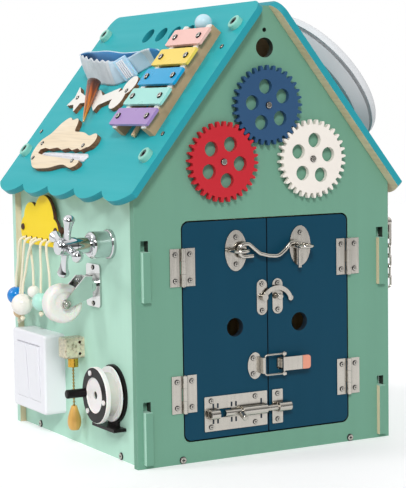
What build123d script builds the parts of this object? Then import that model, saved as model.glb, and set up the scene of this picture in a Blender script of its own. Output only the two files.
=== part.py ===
from build123d import *
from math import atan2, cos, degrees, hypot, radians, sin, tan
import os

os.makedirs("parts", exist_ok=True)

# All lengths in mm. The origin is the centre of the footprint on the floor, the front faces -Y, +Z is up.

# House shell
house_width = 300.0
house_depth = 300.0
board = 8.0
roof_board = 7.0
roof_pitch = 51.34
gable_flat = 10.2
wall_inset = 7.0
wall_rise = 8.0
tab_proud = 5.0
tab_play = 0.1
upper_tab_base = 164.0
upper_tab_height = 49.0
upper_slot_height = 60.0
lower_tab_base = 4.0
lower_tab_height = 52.0
lower_slot_height = 62.0
doorway_width = 197.0
doorway_base = 21.0
doorway_height = 220.0
doorway_radius = 8.0
lintel_height = 30.0
gable_hole_radius = 10.0
gable_hole_drop = 41.62
peg_hole_radius = 2.25
peg_hole_drop = 24.12

# Roof
roof_overhang = 14.0
ridge_setback = 16.866
scallop_count = 5
scallop_notch = -5.0
scallop_tip = -16.0
roof_corner_radius = 14.0
roof_hole_radius = 9.5
roof_hole_slope = 198.0
roof_holes = (-40.0, -9.6, 20.0, 50.0)
cap_radius = 7.5
cap_height = 6.0
cap_recess_radius = 4.4
cap_recess_depth = 3.0
cap_edge = 1.2
cap_slopes = (38.0, 202.0)
roof_screw_slopes = (66.0, 174.0)

# Fasteners
hole_play = 0.1
bolt_head_radius = 3.9
bolt_head_height = 2.4
bolt_shank_radius = 2.0
bolt_shank_length = 22.0
long_head_radius = 3.75
long_head_height = 1.6
long_shank_radius = 1.5
long_shank_length = 20.0
small_head_radius = 2.6
small_head_height = 1.2
small_shank_radius = 1.1
small_shank_length = 7.0
wide_head_radius = 3.6
wide_head_height = 1.8
wide_shank_radius = 1.4
wide_shank_length = 14.0
bar_shank_length = 20.0
roof_shank_length = 6.5
base_screw_reach = 100.0
base_screw_height = 4.0

# Gears
gear_teeth = 32
gear_tip_radius = 40.0
gear_pitch_radius = 38.0
gear_root_radius = 35.0
tooth_root_width = 4.2
tooth_pitch_width = 3.0
tooth_tip_width = 1.6
gear_thickness = 5.2
gear_lift = 1.3
gear_play = 0.05
gear_hole_count = 5
gear_hole_radius = 7.5
gear_hole_ring = 19.0
gear_drop = 55.0
gear_spread = 52.5
blue_gear_drop = 99.124
blue_hole_angle = 100.0
red_hole_angle = 65.0
white_hole_angle = 84.0
stud_radius = 2.0
stud_collar_radius = 5.0
stud_head_radius = 3.4
stud_head_height = 1.6
stud_depth = 6.0

# Doors and hinges
door_gap = 1.5
door_radius = 7.0
finger_hole_radius = 9.5
finger_hole_reach = 38.25
finger_hole_rise = 110.75
upper_hinge_drop = 45.4
lower_hinge_rise = 48.7
hinge_height = 37.5
leaf_width = 11.1
leaf_root = 2.9
leaf_thickness = 1.2
knuckle_radius = 2.6
knuckle_play = 0.1
pin_radius = 1.25
pin_play = 0.05
pin_proud = 0.5
hinge_axis_lift = 2.7
hinge_screw_reach = 8.2
hinge_screw_spread = 13.0

# Cabin hook
eye_left_x = -37.0
eye_right_x = 39.0
left_eye_drop = 32.0
right_eye_drop = 31.0
eye_plate_width = 25.0
eye_plate_height = 41.0
eye_plate_thickness = 1.5
eye_screw_spread = 13.5
eye_leg_reach = 8.0
eye_wire_radius = 1.8
eye_leg_length = 8.5
eye_leg_sink = 0.5
hook_wire_radius = 2.1
hook_lift = 6.0
hook_play = 0.3

# Swing latch
swing_plate_width = 12.0
swing_plate_height = 36.0
swing_plate_thickness = 1.2
swing_plate_x = -7.0
keeper_x = 11.5
swing_drop = 81.0
swing_screw_spread = 13.5
lever_pivot_x = -5.75
lever_thickness = 2.2
lever_boss_height = 1.3
lever_boss_radius = 3.6
lever_width = 4.5
lever_pin_radius = 2.0
lever_pin_head_radius = 3.4
lever_pin_head_height = 1.2
lever_tip_radius = 2.8
# across the face, and up from the pivot
lever_bend = (8.0, 8.9)
lever_end = (25.3, -2.4)
keeper_neck_radius = 1.8
keeper_neck_height = 4.6
keeper_head_radius = 3.3
keeper_head_height = 2.0
keeper_head_edge = 1.2

# Toggle latch
toggle_rise = 70.0
toggle_plate_thickness = 1.2
toggle_plate_x = 23.0
toggle_plate_width = 26.0
toggle_plate_height = 12.0
toggle_plate_corner = 3.0
toggle_screw_shifts = (0.0, 9.0)
toggle_pin_x = 16.0
toggle_pin_lift = 5.5
toggle_pin_radius = 1.2
toggle_lug_radius = 2.2
toggle_lug_height = 9.0
toggle_lever_height = 13.8
toggle_lever_back = 3.0
toggle_lever_reach = 20.0
toggle_tip_length = 9.5
toggle_tip_corner = 3.0
toggle_plate_lift = 2.5
toggle_sheet = 1.2
toggle_flange_length = 14.0
toggle_flange_drop = 2.4
toggle_flange_shift = 4.0
toggle_tip_proud = 0.4
toggle_pin_proud = 2.0
bail_wire_radius = 1.0
bail_reach = 23.0
bail_height = 20.4
bail_eye_radius = 2.6
bail_eye_height = 2.6
bail_bend = 3.0
bail_root = 0.5
strike_x = -16.0
strike_width = 17.0
strike_height = 27.0
strike_screw_shift = 2.5
strike_screw_spread = 8.0
strike_lip_thickness = 2.0
strike_lip_lift = 8.0
strike_lip_height = 16.0
strike_gap = 0.5

# Barrel bolt
bolt_rise = 26.0
bolt_hinge_gap = 8.25
bolt_plate_inset = 2.5
bolt_plate_height = 35.0
bolt_plate_thickness = 1.5
bolt_plate_corner = 1.0
bolt_screw_shifts = (-29.0, 22.2)
bolt_screw_spread = 13.2
bolt_window_inset = 14.5
bolt_window_length = 16.0
bolt_window_height = 9.0
rod_radius = 3.2
rod_play = 0.06
strike_play = 0.24
bore_overrun = 5.0
rod_lift = 5.2
rod_inset = 21.3
rod_reach = 19.0
housing_radius = 5.0
rear_strap_inset = 9.2
rear_strap_width = 9.6
front_strap_x = -20.3
front_strap_width = 28.6
rod_knob_x = -37.2
rod_knob_radius = 3.0
rod_knob_start = 5.8
rod_knob_reach = 13.5
rod_knob_edge = 1.8
rod_knob_tilt = 24.0
rod_stem_radius = 2.0
bolt_strike_x = 10.0
bolt_strike_width = 12.6
bolt_sleeve_x = 15.4
bolt_sleeve_width = 14.6

# Tap
tap_a = 82.6
tap_drop = 54.2
tap_flange_radius = 15.0
tap_flange_height = 4.0
tap_flange_edge = 1.5
tap_body_radius = 13.5
tap_body_top = 24.0
tap_body_edge = 4.0
tap_neck_radius = 8.0
tap_neck_top = 38.0
tap_spindle_radius = 3.5
tap_spindle_top = 50.0
tap_play = 0.06
tap_hub_radius = 9.0
tap_hub_base = 39.0
tap_hub_top = 54.0
tap_cap_radius = 8.0
tap_cap_top = 59.0
tap_cap_edge = 2.5
tap_spindle_gap = 0.5
tap_arm_lift = 48.0
tap_arm_reach = 33.0
tap_arm_root = 6.5
tap_arm_shoulder = 4.4
tap_arm_waist = 3.6
tap_arm_end = 6.2
tap_arm_round = 5.0
tap_arm_turn = -17.0

# Swivel caster
caster_a = 45.6
caster_drop = 99.0
caster_plate_width = 32.0
caster_plate_height = 44.0
caster_plate_thickness = 2.0
caster_plate_corner = 4.0
caster_screw_spread = 18.5
race_radius = 12.0
race_top = 8.0
kingpin_radius = 4.0
kingpin_head_radius = 5.5
kingpin_head_height = 1.5
caster_play = 0.08
fork_gap = 0.3
fork_sheet = 2.0
fork_half_width = 11.0
fork_root = 10.5
fork_shoulder = 8.0
caster_trail = 16.0
wheel_lift = 37.0
wheel_radius = 20.0
wheel_width = 17.0
wheel_round = 4.0
wheel_dish_radius = 12.4
wheel_dish_depth = 1.5
wheel_hub_radius = 5.0
axle_radius = 2.5
axle_head_radius = 4.2
axle_head_height = 1.6
leg_end_radius = 5.0

# Wall switch
switch_a = -75.0
switch_z = 69.0
switch_size = 86.0
switch_depth = 24.0
switch_radius = 4.0
switch_edge = 2.5
rocker_width = 28.5
rocker_height = 60.0
rocker_thickness = 5.5
rocker_spacing = 31.0
rocker_play = 0.6
rocker_tilt = 3.5
rocker_axis_lift = 19.0
rocker_barrel_radius = 3.0
rocker_barrel_cover = 1.0
rocker_pocket_depth = 11.0

# Pull switch
pull_a = 8.5
pull_z = 104.0
pull_width = 19.0
pull_height = 22.0
pull_depth = 22.0
pull_corner = 3.0
pull_edge = 2.5
pull_hole_radius = 1.6
pull_hole_depth = 6.0
pull_hole_lift = 5.5
pull_hole_spread = 6.0
chain_a = 12.5
chain_lift = 11.0
collar_radius = 5.5
collar_height = 9.0
collar_bore = 2.2
ball_radius = 1.3
ball_pitch = 3.3
chain_wire_radius = 0.7
chain_top = 90.0
knob_top = 43.0
knob_top_radius = 4.6
knob_low_radius = 7.0
knob_height = 25.5

# Reel
reel_a = 87.0
reel_z = 66.0
reel_plate_radius = 29.5
reel_plate_thickness = 3.0
reel_foot_width = 50.0
reel_foot_depth = 14.0
reel_foot_height = 3.0
reel_foot_z = 31.0
reel_web_width = 22.0
reel_axle_radius = 4.0
reel_axle_top = 20.0
reel_play = 0.06
reel_edge = 1.5
reel_screw_spread = 25.5
reel_screw_drop = 1.0
drum_radius = 22.0
drum_base = 3.6
drum_top = 18.0
rear_flange_radius = 28.0
rear_flange_thickness = 1.6
rear_flange_play = 0.4
reel_ring_radius = 28.5
reel_ring_inner = 18.0
reel_ring_top = 23.0
reel_centre_top = 21.5
rivet_count = 3
rivet_radius = 2.6
rivet_ring = 23.0
rivet_height = 1.2
rivet_start = -10.0
crank_radius = 4.5
crank_length = 21.0
crank_reach = 21.0

# Cloud and bead strings
cloud_lift = 4.0
cloud_thickness = 4.0
cloud_bar_a = -74.5
cloud_drop = 50.5
cloud_bar_width = 101.0
cloud_bar_height = 31.0
# across the wall, and up from the middle of the bar, with the lobes' radii
cloud_lobes = ((-62.0, 13.5, 26.0), (-97.0, 11.5, 19.0))
cloud_screws = ((-118.0, 2.5), (-31.0, 2.5))
spacer_radius = 4.0
string_radius = 1.5
string_hole_play = 0.5
run_share = 0.45
bead_play = 0.3
knot_radius = 3.0
# each string: points from its hole in the plate down to its knot
strings = (
    (
        (-151.8, 110.0, 212.0), (-158.5, 110.0, 212.0), (-158.7, 115.3, 199.9),
        (-157.2, 121.9, 180.7), (-157.0, 129.8, 161.4), (-157.0, 129.8, 132.4),
    ),
    (
        (-151.8, 96.0, 212.0), (-158.5, 96.0, 212.0), (-159.0, 100.1, 199.9),
        (-157.8, 108.6, 171.2), (-158.0, 118.5, 141.5), (-158.0, 118.5, 118.5),
    ),
    (
        (-151.8, 82.0, 212.0), (-158.5, 82.0, 212.0), (-158.7, 82.0, 199.9),
        (-157.1, 80.1, 183.6), (-157.0, 79.7, 167.3), (-157.0, 79.7, 144.3),
    ),
    (
        (-151.8, 68.0, 212.0), (-162.8, 68.0, 212.0), (-163.8, 78.6, 192.3),
        (-163.2, 86.5, 174.8), (-164.0, 95.8, 157.3), (-164.0, 95.8, 124.3),
    ),
    (
        (-151.8, 54.0, 212.0), (-158.5, 54.0, 212.0), (-158.7, 56.1, 199.9),
        (-157.2, 57.6, 180.5), (-157.0, 60.5, 161.1), (-157.0, 60.5, 132.1),
    ),
    (
        (-151.8, 40.0, 212.0), (-158.5, 40.0, 212.0), (-158.7, 39.5, 199.9),
        (-157.2, 36.8, 181.0), (-157.0, 35.5, 162.0), (-157.0, 35.5, 137.0),
    ),
)
bead_radii = (10.0, 7.0, 7.0, 12.0, 10.0, 8.0)

# Xylophone
xylo_a = 95.3
rail_width = 10.0
rail_height = 12.0
rail_low = 63.0
rail_high = 193.0
rail_spread_high = 47.0
rail_spread_low = 64.0
felt_thickness = 1.5
felt_width = 8.0
bar_width = 20.5
bar_thickness = 3.0
bar_first = 176.3
bar_pitch = 25.3
bar_lengths = (72.5, 74.5, 77.0, 80.0, 83.5)
bar_radius = 2.0
mallet_a = 94.0
ball_size = 9.0
ball_s = 199.8
ball_lift = 9.3
stick_radius = 2.5
stick_low = 60.0
stick_low_lift = 3.2

# Roof cut-outs
croc_thickness = 5.5
zip_thickness = 1.4
bone_thickness = 5.0
bone_edge = 0.8

# Brown cone: local point and lift of each end of its axis on the roof
cone_top = (-61.2, 124.6, 13.1)
cone_tip = (-37.5, 75.1, 5.9)
cone_radius = 7.75
cone_tip_radius = 0.6
cone_edge = 1.0

# Fabric loop and its clasp
loop_band = 1.8
loop_height = 27.0
loop_lean = 20.0
loop_rest = 0.3
loop_bend = 2.9
clasp_a = -6.0
clasp_s = 138.9
clasp_turn = 26.0
clasp_width = 20.0
clasp_height = 25.0
clasp_thickness = 4.5
clasp_corner = 3.0

# Push lamp
lamp_a = -72.0
lamp_s = 111.0
lamp_foot_radius = 70.0
lamp_foot_height = 12.0
lamp_flare_low = 76.0
lamp_flare_high = 82.0
lamp_flare_top = 24.0
lamp_rim_radius = 83.0
lamp_rim_base = 27.6
lamp_rim_top = 38.0
lamp_rim_round = 7.0
lamp_piston_radius = 74.0
lamp_piston_base = 18.0
lamp_pocket_base = 14.0
lamp_play = 0.1
lamp_wall = 4.0

# Chain slider
track_a = -134.25
track_width = 14.5
track_depth = 13.5
track_drop = 9.0
track_height = 46.0
track_wall = 2.0
track_slit = 5.0
slider_height = 18.0
slider_play = 0.3
slider_neck = 4.2
slider_knob_radius = 5.0
slider_knob_top = 20.0
slider_depth = 6.0
tab_width = 9.0
tab_thickness = 3.0
tab_lift = 18.5
tab_drop = 9.0
tab_hole_rise = 3.6
tab_hole_radius = 2.2
link_length = 16.0
link_width = 9.0
link_wire = 1.2
link_pitch = 10.8
link_count = 5

upright = (Align.CENTER, Align.MIN)
stand = (Align.CENTER, Align.CENTER, Align.MIN)
hang = (Align.CENTER, Align.CENTER, Align.MAX)

# Working planes: local x and y run across and up each face, local z points outwards
half_width = house_width / 2
half_depth = house_depth / 2
roof_out = sin(radians(roof_pitch))
roof_up = cos(radians(roof_pitch))
wall_out = half_width - wall_inset
doorway_top = doorway_base + doorway_height
eave_height = doorway_top + lintel_height
wall_height = eave_height + wall_rise
roof_edge_x = half_width + roof_board * roof_out
roof_edge_z = eave_height + roof_board * roof_up
roof_length = house_depth + 2 * roof_overhang
roof_slope = roof_edge_x / roof_up - ridge_setback
gable_top = eave_height + (half_width - gable_flat / 2) * tan(radians(roof_pitch))
blue_gear_z = gable_top - blue_gear_drop
finger_hole_z = doorway_base + finger_hole_rise
hinge_heights = (doorway_top - upper_hinge_drop, doorway_base + lower_hinge_rise)
eye_left_z = doorway_top - left_eye_drop
eye_right_z = doorway_top - right_eye_drop
swing_plate_z = doorway_top - swing_drop
toggle_z = doorway_base + toggle_rise
bolt_z = doorway_base + bolt_rise
tap_z = eave_height - tap_drop
caster_z = eave_height - caster_drop
cloud_bar_z = eave_height - cloud_drop
front = Plane(origin=(0, -half_depth, 0), x_dir=(1, 0, 0), z_dir=(0, -1, 0))
back = Plane(origin=(0, half_depth, 0), x_dir=(-1, 0, 0), z_dir=(0, 1, 0))
left = Plane(origin=(-wall_out, 0, 0), x_dir=(0, -1, 0), z_dir=(-1, 0, 0))
right = Plane(origin=(wall_out, 0, 0), x_dir=(0, 1, 0), z_dir=(1, 0, 0))
roof_left = Plane(origin=(-roof_edge_x, 0, roof_edge_z), x_dir=(0, -1, 0), z_dir=(-roof_out, 0, roof_up))
roof_right = Plane(origin=(roof_edge_x, 0, roof_edge_z), x_dir=(0, 1, 0), z_dir=(roof_out, 0, roof_up))


def at(plane, u, v, lift=0.0):
    """Plane at a local point of a face, raised by lift."""
    return Plane(plane * Pos(u, v, lift))


def spots(plane, points, lift=0.0):
    """Planes at several local points of a face."""
    return [at(plane, u, v, lift) for u, v in points]


def drill(places, radius, depth):
    """Round holes going down from the places."""
    with Locations(*places):
        Cylinder(radius, depth, align=hang, mode=Mode.SUBTRACT)


def make_screw(head_radius, head_height, shank_radius, shank_length):
    """Domed cross-head screw whose head rests on the local xy plane."""
    with BuildPart() as screw:
        Cylinder(head_radius, head_height, align=stand)
        fillet(screw.edges().group_by(Axis.Z)[-1], head_height * 0.8)
        Cylinder(shank_radius, shank_length, align=hang)
        with Locations((0, 0, head_height)):
            Box(head_radius, head_radius * 0.25, head_height * 0.6, mode=Mode.SUBTRACT)
            Box(head_radius * 0.25, head_radius, head_height * 0.6, mode=Mode.SUBTRACT)
    return screw.part


def make_bolt():
    """Round-headed bolt with a hexagon socket."""
    with BuildPart() as bolt:
        Cylinder(bolt_head_radius, bolt_head_height, align=stand)
        Cylinder(bolt_shank_radius, bolt_shank_length, align=hang)
        with BuildSketch(Plane.XY.offset(bolt_head_height)):
            RegularPolygon(bolt_head_radius * 0.5, 6)
        extrude(amount=-bolt_head_height * 0.7, mode=Mode.SUBTRACT)
    return bolt.part


def make_stud():
    """Gear stud with a collar behind the gear and a head in front of it."""
    with BuildPart() as stud:
        Cylinder(stud_radius, stud_depth, align=hang)
        Cylinder(stud_collar_radius, gear_lift - hole_play, align=stand)
        Cylinder(stud_radius, gear_lift + gear_thickness + hole_play, align=stand)
        with Locations((0, 0, gear_lift + gear_thickness + hole_play)):
            Cylinder(stud_head_radius, stud_head_height, align=stand)
        fillet(stud.edges().group_by(Axis.Z)[-1], stud_head_height * 0.6)
    return stud.part


long_screw = make_screw(long_head_radius, long_head_height, long_shank_radius, long_shank_length)
small_screw = make_screw(small_head_radius, small_head_height, small_shank_radius, small_shank_length)
wide_screw = make_screw(wide_head_radius, wide_head_height, wide_shank_radius, wide_shank_length)
bar_screw = make_screw(wide_head_radius, wide_head_height, wide_shank_radius, bar_shank_length)
flush_screw = make_screw(small_head_radius, small_head_height, small_shank_radius, roof_shank_length)
roof_bolt = make_bolt()
gear_stud = make_stud()

# Places of the fasteners
roof_bolt_a = half_depth - board / 2
base_points = ((-base_screw_reach, base_screw_height), (base_screw_reach, base_screw_height))
base_places = [place for face in (front, back, left, right) for place in spots(face, base_points)]
cap_points = [(a, s) for a in (-roof_bolt_a, roof_bolt_a) for s in cap_slopes]
cap_places = spots(roof_left, cap_points) + spots(roof_right, cap_points)
bolt_lift = cap_height - cap_recess_depth
bolt_places = spots(roof_left, cap_points, bolt_lift) + spots(roof_right, cap_points, bolt_lift)
roof_screw_points = [(a, s) for a in (-roof_bolt_a, roof_bolt_a) for s in roof_screw_slopes]
roof_screw_places = spots(roof_left, roof_screw_points) + spots(roof_right, roof_screw_points)
low_gear_z = blue_gear_z - gear_drop
gear_points = ((0, blue_gear_z), (-gear_spread, low_gear_z), (gear_spread, low_gear_z))
gear_places = spots(front, gear_points)
hinge_x = doorway_width / 2 - door_gap / 2
hinge_screw_rows = [z + step for z in hinge_heights for step in (-hinge_screw_spread, hinge_screw_spread)]
frame_hinge_x = hinge_x + hinge_screw_reach
frame_hinge_points = [(side * frame_hinge_x, z) for side in (-1, 1) for z in hinge_screw_rows]
frame_hinge_places = spots(front, frame_hinge_points, leaf_thickness)
left_leaf_points = [(-hinge_x + hinge_screw_reach, z) for z in hinge_screw_rows]
right_leaf_points = [(hinge_x - hinge_screw_reach, z) for z in hinge_screw_rows]
left_leaf_places = spots(front, left_leaf_points, leaf_thickness)
right_leaf_places = spots(front, right_leaf_points, leaf_thickness)
eye_steps = (-eye_screw_spread, eye_screw_spread)
left_eye_places = spots(front, [(eye_left_x, eye_left_z + d) for d in eye_steps], eye_plate_thickness)
right_eye_places = spots(front, [(eye_right_x, eye_right_z + d) for d in eye_steps], eye_plate_thickness)
swing_rows = [swing_plate_z + d for d in (-swing_screw_spread, swing_screw_spread)]
swing_places = spots(front, [(swing_plate_x, z) for z in swing_rows], swing_plate_thickness)
keeper_places = spots(front, [(keeper_x, z) for z in swing_rows], swing_plate_thickness)
toggle_points = [(toggle_plate_x + shift, toggle_z) for shift in toggle_screw_shifts]
toggle_places = spots(front, toggle_points, toggle_plate_thickness)
strike_rows = [toggle_z + d for d in (-strike_screw_spread, strike_screw_spread)]
strike_points = [(strike_x - strike_screw_shift, z) for z in strike_rows]
strike_places = spots(front, strike_points, toggle_plate_thickness)
bolt_plate_left = -(hinge_x - leaf_root - leaf_width - bolt_hinge_gap)
bolt_plate_width = -bolt_plate_inset - bolt_plate_left
bolt_plate_x = bolt_plate_left + bolt_plate_width / 2
bolt_rows = [bolt_z + d for d in (-bolt_screw_spread, bolt_screw_spread)]
bolt_plate_points = [(bolt_plate_x + shift, z) for shift in bolt_screw_shifts for z in bolt_rows]
bolt_housing_places = spots(front, bolt_plate_points, bolt_plate_thickness)
bolt_strike_places = spots(front, [(bolt_strike_x, z) for z in bolt_rows], bolt_plate_thickness)
caster_points = [(caster_a, caster_z + d) for d in (-caster_screw_spread, caster_screw_spread)]
caster_places = spots(left, caster_points, caster_plate_thickness)
cloud_points = [(a, cloud_bar_z + rise) for a, rise in cloud_screws]
cloud_places = spots(left, cloud_points, cloud_lift + cloud_thickness)
reel_points = [(reel_a + d, reel_z - reel_screw_drop) for d in (-reel_screw_spread, reel_screw_spread)]
reel_places = spots(left, reel_points, reel_plate_thickness)
rail_mid = (rail_low + rail_high) / 2


def rail_offset(s):
    """Half the distance between the rail centre lines at slope position s."""
    share = (s - rail_low) / (rail_high - rail_low)
    return (rail_spread_low + share * (rail_spread_high - rail_spread_low)) / 2


bar_rows = [bar_first - i * bar_pitch for i in range(len(bar_lengths))]
bar_lift = rail_height + felt_thickness
bar_points = [(xylo_a + side * rail_offset(s), s) for s in bar_rows for side in (-1, 1)]
bar_places = spots(roof_left, bar_points, bar_lift + bar_thickness)
croc_points = ((-106.0, 45.9), (-103.8, 25.9), (0.7, 44.8), (-0.4, 24.8))
croc_places = spots(roof_left, croc_points, croc_thickness)
bone_points = ((13.0, 117.4), (-98.3, 109.7))
bone_places = spots(roof_left, bone_points, bone_thickness)


def gable_outline():
    """Gable panel with the doorway left whole."""
    with BuildSketch() as outline:
        with BuildLine():
            Polyline(
                (-half_width, 0), (half_width, 0), (half_width, eave_height), (gable_flat / 2, gable_top),
                (-gable_flat / 2, gable_top), (-half_width, eave_height), close=True,
            )
        make_face()
        for side in (-1, 1):
            with Locations((side * (wall_out - board / 2), upper_tab_base - tab_play)):
                Rectangle(board + 2 * tab_play, upper_slot_height, align=upright, mode=Mode.SUBTRACT)
            with Locations((side * (wall_out - board / 2), lower_tab_base - tab_play)):
                Rectangle(board + 2 * tab_play, lower_slot_height, align=upright, mode=Mode.SUBTRACT)
    return outline.sketch


def wall_outline():
    """Side wall with two tabs at each end."""
    inner = half_depth - board
    with BuildSketch() as outline:
        Rectangle(2 * inner, wall_height, align=upright)
        reach = 2 * (half_depth + tab_proud)
        with Locations((0, upper_tab_base)):
            Rectangle(reach, upper_tab_height, align=upright)
        with Locations((0, lower_tab_base)):
            Rectangle(reach, lower_tab_height, align=upright)
    return outline.sketch


def roof_outline():
    """Roof board with a scalloped eave and rounded ridge corners."""
    end = roof_length / 2
    pitch = roof_length / scallop_count
    with BuildSketch() as outline:
        with BuildLine():
            Polyline((-end, scallop_notch), (-end, roof_slope), (end, roof_slope), (end, scallop_notch))
            for i in range(scallop_count):
                a = -end + i * pitch
                ThreePointArc((a, scallop_notch), (a + pitch / 2, scallop_tip), (a + pitch, scallop_notch))
        make_face()
        fillet(outline.vertices().group_by(Axis.Y)[-1], roof_corner_radius)
    return outline.sketch


def gear_outline(tooth_angle, hole_angle):
    """Spur gear with straight thin teeth and a ring of round holes."""
    with BuildSketch() as outline:
        Circle(gear_root_radius)
        with PolarLocations(0, gear_teeth, start_angle=tooth_angle):
            Polygon(
                (gear_root_radius - 1, -tooth_root_width / 2), (gear_pitch_radius, -tooth_pitch_width / 2),
                (gear_tip_radius, -tooth_tip_width / 2), (gear_tip_radius, tooth_tip_width / 2),
                (gear_pitch_radius, tooth_pitch_width / 2), (gear_root_radius - 1, tooth_root_width / 2),
                align=None,
            )
        with PolarLocations(gear_hole_ring, gear_hole_count, start_angle=hole_angle):
            Circle(gear_hole_radius, mode=Mode.SUBTRACT)
        Circle(stud_radius + gear_play, mode=Mode.SUBTRACT)
    return outline.sketch


def mate_angle(direction):
    """Tooth angle of a gear that meshes with one having a tooth straight up, seen in this direction."""
    pitch = 360 / gear_teeth
    return direction + 180 - (90 - direction) % pitch + pitch / 2


def hinge_leaf(axis_x, side, height, spans):
    """Hinge leaf lying on the front face, reaching from the pin to the given side."""
    pin_z = half_depth + hinge_axis_lift
    with Locations(at(front, axis_x + side * (leaf_root + leaf_width / 2), height)):
        Box(leaf_width, hinge_height, leaf_thickness, align=stand)
    for low, high in spans:
        middle = height + (low + high) / 2
        with Locations(at(front, axis_x + side * (leaf_root + 0.5) / 2, middle)):
            Box(leaf_root + 0.5, high - low, leaf_thickness, align=stand)
        with Locations(Plane((axis_x, -pin_z, middle))):
            Cylinder(knuckle_radius, high - low)
            Cylinder(pin_radius + pin_play, high - low, mode=Mode.SUBTRACT)


third = hinge_height / 6
outer_spans = ((-3 * third, -third - knuckle_play), (third + knuckle_play, 3 * third))
middle_span = ((-third + knuckle_play, third - knuckle_play),)

gable = gable_outline()
wall = wall_outline()
roof = roof_outline()

# House shell
with BuildPart() as front_panel:
    with BuildSketch(front):
        add(gable)
        with Locations((0, doorway_base + doorway_height / 2)):
            RectangleRounded(doorway_width, doorway_height, doorway_radius, mode=Mode.SUBTRACT)
        with Locations((0, gable_top - gable_hole_drop)):
            Circle(gable_hole_radius, mode=Mode.SUBTRACT)
        with Locations((0, gable_top - peg_hole_drop)):
            Circle(peg_hole_radius, mode=Mode.SUBTRACT)
    extrude(amount=-board)
    drill(base_places, long_shank_radius + hole_play, long_shank_length + hole_play)
    drill(bolt_places, bolt_shank_radius + hole_play, bolt_shank_length + hole_play)
    drill(gear_places, stud_radius + hole_play, stud_depth + hole_play)
    drill(frame_hinge_places, small_shank_radius + hole_play, small_shank_length + hole_play)

with BuildPart() as back_panel:
    with BuildSketch(back):
        add(gable)
    extrude(amount=-board)
    drill(base_places, long_shank_radius + hole_play, long_shank_length + hole_play)
    drill(bolt_places, bolt_shank_radius + hole_play, bolt_shank_length + hole_play)

with BuildPart() as left_wall:
    with BuildSketch(left):
        add(wall)
    extrude(amount=-board)
    drill(base_places, long_shank_radius + hole_play, long_shank_length + hole_play)
    drill(caster_places, small_shank_radius + hole_play, small_shank_length + hole_play)
    drill(cloud_places, wide_shank_radius + hole_play, wide_shank_length + hole_play)
    drill(reel_places, small_shank_radius + hole_play, small_shank_length + hole_play)

with BuildPart() as right_wall:
    with BuildSketch(right):
        add(wall)
    extrude(amount=-board)
    drill(base_places, long_shank_radius + hole_play, long_shank_length + hole_play)

with BuildPart() as base_panel:
    with BuildSketch(Plane.XY):
        Rectangle(2 * (wall_out - board), 2 * (half_depth - board))
    extrude(amount=board)
    drill(base_places, long_shank_radius + hole_play, long_shank_length + hole_play)

with BuildPart() as left_roof:
    with BuildSketch(roof_left):
        add(roof)
        with Locations(*[(a, roof_hole_slope) for a in roof_holes]):
            Circle(roof_hole_radius, mode=Mode.SUBTRACT)
    extrude(amount=-roof_board)
    drill(bolt_places, bolt_shank_radius + hole_play, bolt_shank_length + hole_play)
    drill(roof_screw_places, small_shank_radius + hole_play, roof_shank_length + hole_play)
    drill(bar_places, wide_shank_radius + hole_play, bar_shank_length + hole_play)
    drill(croc_places, small_shank_radius + hole_play, roof_shank_length + croc_thickness)
    drill(bone_places, small_shank_radius + hole_play, roof_shank_length + bone_thickness)

with BuildPart() as right_roof:
    with BuildSketch(roof_right):
        add(roof)
    extrude(amount=-roof_board)
    drill(bolt_places, bolt_shank_radius + hole_play, bolt_shank_length + hole_play)
    drill(roof_screw_places, small_shank_radius + hole_play, roof_shank_length + hole_play)

with BuildPart() as cap:
    Cylinder(cap_radius, cap_height, align=stand)
    fillet(cap.edges().group_by(Axis.Z)[-1], cap_edge)
    with Locations((0, 0, cap_height)):
        Cylinder(cap_recess_radius, cap_recess_depth, align=hang, mode=Mode.SUBTRACT)
    Cylinder(bolt_shank_radius + hole_play, cap_height, align=stand, mode=Mode.SUBTRACT)

with BuildPart() as roof_caps:
    with Locations(*cap_places):
        add(cap.part)

# Gears
blue_tooth_angle = 90.0
red_direction = degrees(atan2(-gear_drop, -gear_spread))
white_direction = degrees(atan2(-gear_drop, gear_spread))

blue_outline = gear_outline(blue_tooth_angle, blue_hole_angle)
red_outline = gear_outline(mate_angle(red_direction), red_hole_angle)
white_outline = gear_outline(mate_angle(white_direction), white_hole_angle)

with BuildPart() as blue_gear:
    with BuildSketch(gear_places[0].offset(gear_lift)):
        add(blue_outline)
    extrude(amount=gear_thickness)

with BuildPart() as red_gear:
    with BuildSketch(gear_places[1].offset(gear_lift)):
        add(red_outline)
    extrude(amount=gear_thickness)

with BuildPart() as white_gear:
    with BuildSketch(gear_places[2].offset(gear_lift)):
        add(white_outline)
    extrude(amount=gear_thickness)

# Doors
door_base = doorway_base + door_gap
door_height = doorway_height - 2 * door_gap
door_outer = doorway_width / 2 - door_gap
door_inner = door_gap / 2

with BuildPart() as left_door:
    with BuildSketch(front):
        with Locations((-door_outer, door_base)):
            panel = Rectangle(door_outer - door_inner, door_height, align=(Align.MIN, Align.MIN))
        fillet(panel.vertices().group_by(Axis.X)[0], door_radius)
        with Locations((-finger_hole_reach, finger_hole_z)):
            Circle(finger_hole_radius, mode=Mode.SUBTRACT)
    extrude(amount=-board)
    for places in (left_leaf_places, left_eye_places, swing_places, strike_places, bolt_housing_places):
        drill(places, small_shank_radius + hole_play, small_shank_length + hole_play)

with BuildPart() as right_door:
    with BuildSketch(front):
        with Locations((door_outer, door_base)):
            panel = Rectangle(door_outer - door_inner, door_height, align=(Align.MAX, Align.MIN))
        fillet(panel.vertices().group_by(Axis.X)[-1], door_radius)
        with Locations((finger_hole_reach, finger_hole_z)):
            Circle(finger_hole_radius, mode=Mode.SUBTRACT)
    extrude(amount=-board)
    for places in (right_leaf_places, right_eye_places, keeper_places, toggle_places, bolt_strike_places):
        drill(places, small_shank_radius + hole_play, small_shank_length + hole_play)

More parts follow.
